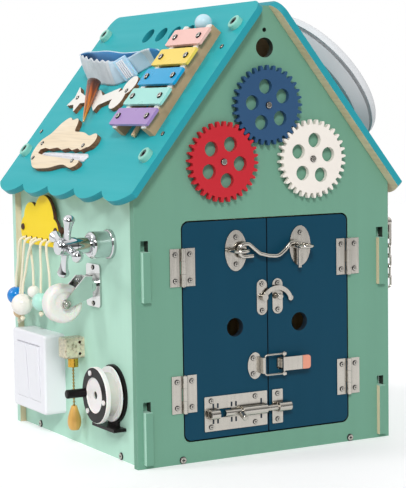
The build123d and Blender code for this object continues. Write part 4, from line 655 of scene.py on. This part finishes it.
def nurbs_line(points, fineness):
    """Points along the smooth NURBS line that has the route's points as its control points."""
    curve = bpy.data.curves.new("route", "CURVE")
    curve.dimensions = "3D"
    spline = curve.splines.new("NURBS")
    spline.points.add(len(points) - 1)
    for target, point in zip(spline.points, points):
        target.co = (*point, 1.0)
    spline.order_u = 3
    spline.use_endpoint_u = True
    spline.resolution_u = fineness
    holder = bpy.data.objects.new("route", curve)
    mesh = bpy.data.meshes.new_from_object(holder)
    line = [vertex.co.copy() for vertex in mesh.vertices]
    bpy.data.objects.remove(holder)
    bpy.data.curves.remove(curve)
    bpy.data.meshes.remove(mesh)
    return line


# Share of a rope's radius that the grooves between its strands take
strand_depth = 0.2


def rope(line, radius, lay, strands=3, sides=18):
    """Points and faces of a twisted cord along a line: each strand is a bulge winding round it."""
    points = []
    side = (line[1] - line[0]).orthogonal().normalized()
    travelled = 0.0
    for i, here in enumerate(line):
        before, after = line[max(i - 1, 0)], line[min(i + 1, len(line) - 1)]
        ahead = (after - before).normalized()
        side = (side - ahead * side.dot(ahead)).normalized()
        other = ahead.cross(side)
        travelled += (here - before).length
        twist = 2 * math.pi * travelled / lay
        for k in range(sides):
            angle = 2 * math.pi * k / sides
            swell = abs(math.cos(strands * (angle - twist) / 2))
            bulge = radius * (1 - strand_depth + strand_depth * swell)
            points.append(here + bulge * (math.cos(angle) * side + math.sin(angle) * other))
    faces = ring_faces(len(line), sides)
    faces.append(tuple(reversed(range(sides))))
    faces.append(tuple(range((len(line) - 1) * sides, len(line) * sides)))
    return points, faces


def turned(profile, centre, axis, sides=40):
    """Points and faces of a turned ring: a closed profile of (radius, height) pairs round an axis."""
    across_axis = axis.orthogonal().normalized()
    other = axis.cross(across_axis)
    points = []
    for radius, height in profile:
        for k in range(sides):
            angle = 2 * math.pi * k / sides
            spoke = math.cos(angle) * across_axis + math.sin(angle) * other
            points.append(centre + radius * spoke + height * axis)
    return points, ring_faces(len(profile), sides, True)


# Bead strings: six cords, each with a bead and a knot. Routes and bead radii are in mm, the rest in metres
string_radius = 0.0015
string_lay = 0.007
string_fineness = 40
string_routes = (
    ((-151.8, 110.0, 212.0), (-158.5, 110.0, 212.0), (-158.7, 115.3, 199.9), (-157.2, 121.9, 180.7),
     (-157.0, 129.8, 161.4), (-157.0, 129.8, 132.4)),
    ((-151.8, 96.0, 212.0), (-158.5, 96.0, 212.0), (-159.0, 100.1, 199.9), (-157.8, 108.6, 171.2),
     (-158.0, 118.5, 141.5), (-158.0, 118.5, 118.5)),
    ((-151.8, 82.0, 212.0), (-158.5, 82.0, 212.0), (-158.7, 82.0, 199.9), (-157.1, 80.1, 183.6),
     (-157.0, 79.7, 167.3), (-157.0, 79.7, 144.3)),
    ((-151.8, 68.0, 212.0), (-162.8, 68.0, 212.0), (-163.8, 78.6, 192.3), (-163.2, 86.5, 174.8),
     (-164.0, 95.8, 157.3), (-164.0, 95.8, 124.3)),
    ((-151.8, 54.0, 212.0), (-158.5, 54.0, 212.0), (-158.7, 56.1, 199.9), (-157.2, 57.6, 180.5),
     (-157.0, 60.5, 161.1), (-157.0, 60.5, 132.1)),
    ((-151.8, 40.0, 212.0), (-158.5, 40.0, 212.0), (-158.7, 39.5, 199.9), (-157.2, 36.8, 181.0),
     (-157.0, 35.5, 162.0), (-157.0, 35.5, 137.0)),
)
bead_sizes = (10.0, 7.0, 7.0, 12.0, 10.0, 8.0)
bead_looks = (bead_blue, bead_wood, bead_white, bead_white, bead_mint, bead_wood)
bead_bore = 0.0018
bead_lip = 0.0005
bead_steps = 28
bore_sink = 0.0003
knot_radius = 0.003
knot_spread = 0.2232
knot_depth = 1.6
knot_cord_radius = 0.0013
knot_lay = 0.006
knot_steps = 96


def bead_profile(radius):
    """Closed profile of a bored ball with a rounded lip at each end of its bore."""
    low = math.asin((bead_bore + bead_lip) / radius)
    turns = [low + (math.pi - 2 * low) * i / bead_steps for i in range(bead_steps + 1)]
    ball = [(radius * math.sin(t), -radius * math.cos(t)) for t in turns]
    end = ball[-1][1] - bore_sink
    return ball + [(bead_bore, end), (bead_bore, 0.0), (bead_bore, -end)]


def knot_line(centre):
    """Closed overhand loop round a centre."""
    line = []
    for i in range(knot_steps + 1):
        t = 2 * math.pi * i / knot_steps
        x = math.sin(t) + 2 * math.sin(2 * t)
        y = math.cos(t) - 2 * math.cos(2 * t)
        z = -knot_depth * math.sin(3 * t)
        line.append(centre + knot_radius * knot_spread * Vector((z, x, y)))
    return line


def add_string(index, route, radius, look):
    """One cord with its bead and knot, riding on the fringe."""
    controls = [MM * Vector(point) for point in route]
    line = nurbs_line(controls, string_fineness)
    centre = controls[-1] + Vector((0, 0, knot_radius + radius))
    twine = rope(line, string_radius, string_lay)
    tied = rope(knot_line(controls[-1]), knot_cord_radius, knot_lay)
    ball = turned(bead_profile(radius), centre, Vector((0, 0, 1)))
    cord = add_piece(f"string_{index}", *twine, string_cotton, "bead_fringe", "cotton")
    knot = add_piece(f"knot_{index}", *tied, string_cotton, "bead_fringe", "cotton")
    bead = add_piece(f"bead_{index}", *ball, look, "bead_fringe", "bead_wood")
    return cord, bead


for index, (route, size, look) in enumerate(zip(string_routes, bead_sizes, bead_looks), 1):
    cord, bead = add_string(index, route, MM * size, look)
    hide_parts("bead_strings")
    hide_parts("beads")


# Nuts on the two ends of the caster's axle, turned round its line from the outer faces of the fork's legs
axle_centre = Vector((-0.18, -0.0456, 0.156))
leg_face = 0.012
nut_profile = (
    (0.00445, 0.00005), (0.00445, 0.0013), (0.0040, 0.0018), (0.0032, 0.0019), (0.0029, 0.00165),
    (0.0022, 0.00165), (0.0020, 0.0022), (0.0012, 0.0026), (0.0001, 0.0027), (0.0001, 0.00005),
)
for name, side in (("front", -1), ("rear", 1)):
    axis = Vector((0, side, 0))
    nut = turned(nut_profile, axle_centre + leg_face * axis, axis)
    add_piece(f"axle_nut_{name}", *nut, screw_steel, "caster_fork", "steel")


# Fabric loop: bottom and top edges on the roof as (a, s, h) in mm, from the right end round the front
loop_low = (
    (42, 161.5, 0.5), (30, 156.5, 0.5), (16, 151.5, 0.5), (-2, 142.5, 0.5), (-20, 133, 0.5),
    (-38, 128.8, 0.5), (-64, 130.2, 0.5), (-94, 134.5, 0.5), (-116, 139, 0.5), (-121, 144, 0.5),
    (-110, 147.5, 0.5), (-80, 143.5, 0.5), (-50, 141.2, 0.5), (-20, 146, 0.5), (2, 156, 0.5),
    (26, 164.5, 0.5),
)
loop_high = (
    (43, 164, 12), (37, 160, 20), (18, 155, 21), (0, 149, 20), (-20, 144, 21.5), (-38, 143, 24),
    (-62, 144, 25), (-88, 147.5, 26), (-106, 151, 27), (-112, 154, 27), (-100, 157, 27), (-74, 156.5, 27),
    (-46, 157, 26), (-18, 158, 20), (6, 163, 15), (30, 168, 11),
)
# Stretches of the loop, counted in its points from the right end: hem, woven, turned over and gathered
loop_hem = (1.0, 1.7)
loop_woven = (4.7, 8.3)
loop_turned = (0.0, 1.0)
loop_gathered = (4.2, 9.2)
loop_thickness = 1.3
loop_steps = 12
loop_rows = 12

# Waves of the loop, each as its size in mm and its turn from one step to the next
loop_ripple = (0.5, 0.41)
loop_bow = (1.6, 0.13)
loop_ruffle = (0.9, 0.9)
ruffle_at_foot = 0.4


def closed_curve(points, steps):
    """Smooth closed line through points, with the given steps between two of them."""
    count = len(points)
    line = []
    for i in range(count):
        p0, p1, p2, p3 = (Vector(points[(i + k) % count]) for k in (-1, 0, 1, 2))
        for step in range(steps):
            t = step / steps
            line.append(0.5 * (
                2 * p1 + (p2 - p0) * t + (2 * p0 - 5 * p1 + 4 * p2 - p3) * t * t
                + (3 * p1 - p0 - 3 * p2 + p3) * t * t * t
            ))
    return line


def add_loop():
    """Band standing on its edge: outer and inner faces, with rims between them."""
    low, high = closed_curve(loop_low, loop_steps), closed_curve(loop_high, loop_steps)
    count = len(low)
    rows = []
    for row in range(loop_rows + 1):
        share = row / loop_rows
        middle = math.sin(math.pi * share)
        line = []
        for i in range(count):
            point = low[i].lerp(high[i], share)
            point.y += loop_ripple[0] * middle * math.sin(i * loop_ripple[1])
            point.y -= loop_bow[0] * middle * math.cos(i * loop_bow[1])
            place = (i / loop_steps - loop_gathered[0]) / (loop_gathered[1] - loop_gathered[0])
            gathered = math.sin(math.pi * min(1.0, max(0.0, place)))
            ruffle = loop_ruffle[0] * gathered * math.sin(i * loop_ruffle[1])
            point.y += ruffle * (ruffle_at_foot + share)
            point.z += ruffle * share
            line.append(point)
        rows.append(line)
    outer, inner, along = [], [], [0.0]
    for i in range(1, count + 1):
        along.append(along[-1] + (low[i % count] - low[i - 1]).length * MM)
    for line in rows:
        for i, point in enumerate(line):
            ahead = line[(i + 1) % count] - line[i - 1]
            inward = Vector((-ahead.y, ahead.x, 0)).normalized()
            outer.append(point)
            inner.append(point - loop_thickness * inward)
    points = [on_roof(*point) for point in outer + inner]
    half = len(outer)
    outside = ring_faces(loop_rows + 1, count)
    faces = outside + [tuple(half + k for k in reversed(face)) for face in outside]
    for edge in (0, loop_rows * count):
        for i in range(count):
            j = (i + 1) % count
            rim = (edge + i, edge + half + i, edge + half + j, edge + j)
            faces.append(rim if edge == 0 else tuple(reversed(rim)))
    loop = add_piece("fabric_loop_band", points, faces, loop_outside, "house", "webbing")
    mesh = loop.data
    mesh.materials.append(loop_grey)
    mesh.materials.append(loop_inside)
    layer = mesh.uv_layers.new(name="band")
    band_height = sum((b - a).length for a, b in zip(low, high)) / count * MM
    for face in mesh.polygons:
        wraps = max(mesh.loops[k].vertex_index % count for k in face.loop_indices) == count - 1
        for k in face.loop_indices:
            vertex = mesh.loops[k].vertex_index
            column = vertex % count
            column = count if wraps and column == 0 else column
            layer.data[k].uv = (along[column], (vertex % half) // count * band_height / loop_rows)
        column = min(mesh.loops[k].vertex_index % count for k in face.loop_indices)
        inside = min(mesh.loops[k].vertex_index for k in face.loop_indices) >= half
        place = column / loop_steps
        woven_part = loop_woven[0] < place < loop_woven[1]
        hem = loop_hem[0] < place < loop_hem[1]
        turned_over = loop_turned[0] <= place < loop_turned[1]
        face.material_index = 2 if inside or turned_over else (1 if woven_part or hem else 0)
    return loop, along[-1], band_height


loop, loop_length, loop_height = add_loop()
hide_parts("fabric_loop")


def box_points(place, width, depth, height, edge):
    """Points of a block with chamfered upright edges and a chamfered top, centred on a place."""
    points = []
    for lift, inset in ((0.0, 0.0), (height - edge, 0.0), (height, edge)):
        x, y = width / 2 - inset, depth / 2 - inset
        for u, v in ((-x + edge, -y), (x - edge, -y), (x, -y + edge), (x, y - edge),
                     (x - edge, y), (-x + edge, y), (-x, y - edge), (-x, -y + edge)):
            points.append(place @ Vector((u, v, lift)))
    return points


def blocks(places):
    """Points and faces of several chamfered blocks: each a place with its width, depth, height and edge."""
    points, faces = [], []
    for place, width, depth, height, edge in places:
        first = len(points)
        points += box_points(place, width, depth, height, edge)
        ends = [tuple(reversed(range(8))), tuple(range(16, 24))]
        faces += [tuple(first + k for k in face) for face in ring_faces(3, 8) + ends]
    return points, faces


def frame_at(origin, x_axis, z_axis):
    """Placement matrix with the given origin, x axis and z axis."""
    x_axis, z_axis = x_axis.normalized(), z_axis.normalized()
    y_axis = z_axis.cross(x_axis)
    return Matrix.Translation(origin) @ Matrix((x_axis, y_axis, z_axis)).transposed().to_4x4()


# Ribbed clasp in front of the loop
clasp_turn = math.radians(27)
clasp_lean = math.radians(22)
clasp_x = math.cos(clasp_turn) * to_front + math.sin(clasp_turn) * up_slope
clasp_y = math.sin(clasp_lean) * up_slope + math.cos(clasp_lean) * off_roof
clasp_z = clasp_x.cross(clasp_y)
clasp_width, clasp_height, clasp_depth = 0.019, 0.0255, 0.0026
clasp_edge = 0.0008
clasp_ribs = 4
rib_pitch = 0.0027
rib_width = 0.62 * rib_pitch
rib_length = 0.84 * clasp_height
rib_height, rib_edge, rib_sink = 0.0016, 0.0004, 0.0003
clasp_foot = on_roof(-7, 137.6, 0.6)


def add_clasp():
    """Plate, and upright ribs in its middle, coloured white as a painted highlight on their light-blue
    plastic.
    """
    middle = clasp_foot + clasp_y * clasp_height / 2
    plate = frame_at(middle, clasp_x, clasp_z)
    base = [(plate, clasp_width, clasp_height, clasp_depth, clasp_edge)]
    ribs = []
    for i in range(clasp_ribs):
        shift = (i - (clasp_ribs - 1) / 2) * rib_pitch
        place = plate @ Matrix.Translation((shift, 0, clasp_depth - rib_sink))
        ribs.append((place, rib_width, rib_length, rib_height, rib_edge))
    return (
        add_piece("clasp_plate", *blocks(base), clasp_blue, "house", "blue_plastic", smooth=False),
        # The ribs are light-blue plastic; their white is a painted highlight
        add_piece("clasp_ribs", *blocks(ribs), switch_white_and_rib_highlight, "house", "blue_plastic", smooth=False),
    )


clasp, ribs = add_clasp()
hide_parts("loop_clasp")

# Slots that are left in the bolt's plate where its guides are pressed out, drawn as thin dark sheets: the
# navy door seen through them, darkened as painted shade
bolt_slots = (-65.5, -60.3, -44.4, -39.3, -9.6)
bolt_height = 47.0
plate_face = -151.5
slot_shifts = (-7.8, 7.8)
slot_size = (0.0019, 0.0048, 0.0002, 0.0001)
slot_parts = []
for x in bolt_slots:
    for shift in slot_shifts:
        place = frame_at(MM * Vector((x, plate_face, bolt_height + shift)), Vector((1, 0, 0)), to_front)
        slot_parts.append((place, *slot_size))
add_piece("bolt_slots", *blocks(slot_parts), painted_navy_shade, "left_door", "steel", smooth=False)

# Brown cone lying on the bone
cone_top = on_roof(-61.2, 124.6, 13.1)
cone_tip = on_roof(-37.5, 75.1, 5.9)
cone_radius = 0.00775
cone_sides = 48
cone_steps = 24
cone_swell = 0.92
cone_point = ((0.00005, 0.0), (0.0005, 0.0002), (0.0009, 0.001))
# The cut end: radii, each with its drop below the end
cone_end = ((cone_radius, 0.0004), (0.00715, 0.0), (0.005425, 0.0004), (0.00005, 0.001))
cone_end_gap = 0.0006


def add_cone():
    """Slightly swelling cone with a rounded tip and a shallow hollow in its cut end."""
    axis = cone_top - cone_tip
    length = axis.length
    axis.normalize()
    first_radius, first_height = cone_point[-1]
    run = length - first_height - cone_end_gap
    profile = list(cone_point)
    for i in range(1, cone_steps):
        share = i / cone_steps
        radius = first_radius + (cone_radius - first_radius) * share**cone_swell
        profile.append((radius, first_height + run * share))
    profile += [(radius, length - drop) for radius, drop in cone_end]
    points, faces = turned(profile, cone_tip, axis, cone_sides)
    faces = faces[:-cone_sides]
    faces.append(tuple(reversed(range(cone_sides))))
    faces.append(tuple(range(len(points) - cone_sides, len(points))))
    cone = add_piece("horn_cone", points, faces, horn_brown, "house", "leather")
    layer = cone.data.uv_layers.new(name="cone")
    for face in cone.data.polygons:
        for k in face.loop_indices:
            vertex = cone.data.loops[k].vertex_index
            layer.data[k].uv = (vertex % cone_sides / cone_sides, profile[vertex // cone_sides][1] / length)
    return cone


cone = add_cone()
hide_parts("brown_cone")

# White zip tape in the crocodile's mouth, with a row of teeth along its middle
tape_upper = ((-97.5, 36.2), (-76.0, 37.4), (-40.0, 37.5), (14.5, 37.5), (19.0, 34.0))
tape_lower = ((-97.5, 33.5), (-70.0, 30.6), (-40.0, 29.6), (-12.7, 28.2), (15.0, 27.6))
tape_thickness = 1.1
tape_lift = 0.15
tape_swell = 0.35
tape_wave, wave_along, wave_across = 0.12, 0.7, 3
tape_steps = 60
tape_rows = 6
tooth_count = 44
tooth_first, tooth_run = 0.03, 0.9
tooth_side = 0.35
tooth_lift = 0.2
tooth_size = (0.0011, 0.0026, 0.0008, 0.0002)


def along_points(points, share):
    """Point at a share of a polyline's run in a."""
    a = points[0][0] + share * (points[-1][0] - points[0][0])
    for (a0, s0), (a1, s1) in zip(points, points[1:]):
        if a <= a1 or (a1, s1) == points[-1]:
            return a, s0 + (s1 - s0) * (a - a0) / (a1 - a0)


def add_zip():
    """Tape with thickness and a slight swell, and its teeth."""
    points = []
    for i in range(tape_steps + 1):
        share = i / tape_steps
        upper, lower = along_points(tape_upper, share), along_points(tape_lower, share)
        for top in (True, False):
            for row in range(tape_rows + 1):
                v = row / tape_rows if top else 1 - row / tape_rows
                wave = tape_wave * math.sin(i * wave_along + v * wave_across)
                swell = tape_swell * math.sin(math.pi * v) + wave
                a, s = (lower[k] + v * (upper[k] - lower[k]) for k in (0, 1))
                points.append(on_roof(a, s, tape_thickness + swell if top else tape_lift))
    sides = 2 * (tape_rows + 1)
    faces = ring_faces(tape_steps + 1, sides)
    faces += [tuple(reversed(range(sides))), tuple(range(len(points) - sides, len(points)))]
    tape = add_piece("zip_tape_cloth", points, faces, tape_white, "house", "tape")
    layer = tape.data.uv_layers.new(name="tape")
    for face in tape.data.polygons:
        for k in face.loop_indices:
            a, s = roof_place(tape.data.vertices[tape.data.loops[k].vertex_index].co)[:2]
            layer.data[k].uv = (a * MM, s * MM)
    parts = []
    for i in range(tooth_count):
        share = tooth_first + tooth_run * i / tooth_count
        upper, lower = along_points(tape_upper, share), along_points(tape_lower, share)
        side = tooth_side if i % 2 else -tooth_side
        a, s = (upper[0] + lower[0]) / 2, (upper[1] + lower[1]) / 2 + side
        place = frame_at(on_roof(a, s, tape_thickness + tooth_lift), to_front, off_roof)
        parts.append((place, *tooth_size))
    teeth = add_piece("zip_teeth", *blocks(parts), switch_white_and_rib_highlight, "house", "tape", smooth=False)
    return tape, teeth


tape, teeth = add_zip()
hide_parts("zip_tape")


# Fine rounding of the sharp edges of boards, in metres and degrees
round_width = 0.0006
weld_reach = 0.000002
flat_angle = 0.2
sharp_angle = 50
rounded_nodes = (
    "front_panel", "back_panel", "left_wall", "right_wall", "left_roof", "right_roof", "left_door",
    "right_door", "cloud", "crocodile", "bone_cutout",
)


def round_edges(name):
    """Small real rounding along a node's sharp edges."""
    thing = nodes[name]
    weld = thing.modifiers.new("weld", "WELD")
    weld.merge_threshold = weld_reach
    flat = thing.modifiers.new("flat", "DECIMATE")
    flat.decimate_type = "DISSOLVE"
    flat.angle_limit = math.radians(flat_angle)
    flat.delimit = {"MATERIAL"}
    bevel = thing.modifiers.new("round", "BEVEL")
    bevel.width = round_width
    bevel.segments = 2
    bevel.limit_method = "ANGLE"
    bevel.angle_limit = math.radians(sharp_angle)
    bevel.use_clamp_overlap = True


# Studio: white floor that keeps the shadow, white surroundings, soft lamps
floor_size = 6.0
floor_tone = (0.86, 0.86, 0.86, 1.0)
floor_glow = 0.22
fill_tone = (0.5, 0.5, 0.51, 1)

# What metals mirror: the side that is dark, its tone and the cosines it fades between, then the tones of the
# floor and the sky and the heights between which one becomes the other
dark_side = (-0.2, -0.97, 0.1)
room_dark = 0.1
room_turn = (0.15, 0.85)
floor_to_sky = (0.4, 1.1)
sky_rise = (-0.1, 0.5)


def direct_ray(tree):
    """1 for rays that come straight from the camera, a mirror or a clear surface."""
    path = node(tree, "LightPath")
    first = node(tree, "Math")
    second = node(tree, "Math")
    first.operation = "MAXIMUM"
    second.operation = "MAXIMUM"
    tree.links.new(path.outputs["Is Camera Ray"], first.inputs[0])
    tree.links.new(path.outputs["Is Glossy Ray"], first.inputs[1])
    tree.links.new(first.outputs[0], second.inputs[0])
    tree.links.new(path.outputs["Is Transmission Ray"], second.inputs[1])
    return second.outputs[0]


def add_floor():
    """Large floor whose lit part renders white and whose shadow stays."""
    half = floor_size / 2
    mesh = bpy.data.meshes.new("floor")
    corners = [(-half, -half, 0), (half, -half, 0), (half, half, 0), (-half, half, 0)]
    mesh.from_pydata(corners, [], [(0, 1, 2, 3)])
    floor = bpy.data.objects.new("floor", mesh)
    bpy.context.scene.collection.objects.link(floor)
    material, tree, shader = start("floor_white")
    shader.inputs["Base Color"].default_value = floor_tone
    shader.inputs["Roughness"].default_value = 0.7
    shader.inputs["Emission Color"].default_value = (1.0, 1.0, 1.0, 1.0)
    feed(tree, shader.inputs["Emission Strength"], span(tree, direct_ray(tree), 0.0, floor_glow))
    mesh.materials.append(material)


def set_world():
    """White for direct rays, a room that metals mirror as dark on one side, and plain fill light."""
    world = bpy.data.worlds.new("studio")
    world.use_nodes = True
    bpy.context.scene.world = world
    tree = world.node_tree
    background = tree.nodes["Background"]
    path = node(tree, "LightPath")
    coords = node(tree, "TexCoord")
    parts = node(tree, "SeparateXYZ")
    tree.links.new(coords.outputs["Generated"], parts.inputs[0])
    facing_room = node(tree, "VectorMath")
    facing_room.operation = "DOT_PRODUCT"
    facing_room.inputs[1].default_value = dark_side
    tree.links.new(coords.outputs["Generated"], facing_room.inputs[0])
    room = span(tree, facing_room.outputs["Value"], 1.0, room_dark, *room_turn)
    height = span(tree, parts.outputs["Z"], *floor_to_sky, *sky_rise)
    seen = node(tree, "Math")
    seen.operation = "MULTIPLY"
    tree.links.new(room, seen.inputs[0])
    tree.links.new(height, seen.inputs[1])
    mirrored = blend(tree, path.outputs["Is Glossy Ray"], (1, 1, 1, 1), seen.outputs[0])
    tone = blend(tree, direct_ray(tree), fill_tone, mirrored)
    feed(tree, background.inputs["Color"], tone)


def add_sun(name, towards, strength, softness):
    """Soft distant lamp that stands in the given direction."""
    lamp = bpy.data.lights.new(name, "SUN")
    lamp.energy = strength
    lamp.angle = math.radians(softness)
    holder = bpy.data.objects.new(name, lamp)
    holder.rotation_euler = Vector(towards).to_track_quat("Z", "Y").to_euler()
    bpy.context.scene.collection.objects.link(holder)


add_floor()
set_world()
add_sun("key", (-0.75, 0.25, 0.6), 0.65, 15)
add_sun("front_key", (-0.4, -0.72, 0.56), 1.85, 14)

camera = bpy.data.objects.new("camera", bpy.data.cameras.new("camera"))
camera.location = (-0.84688, -1.52651, 0.35427)
camera.rotation_euler = [math.radians(angle) for angle in (85.048, 0.8366, -29.394)]
camera.data.lens = 118.465
camera.data.sensor_width = 36.0
bpy.context.scene.collection.objects.link(camera)
bpy.context.scene.camera = camera
bpy.context.scene.view_settings.view_transform = "Standard"

for name in rounded_nodes:
    round_edges(name)
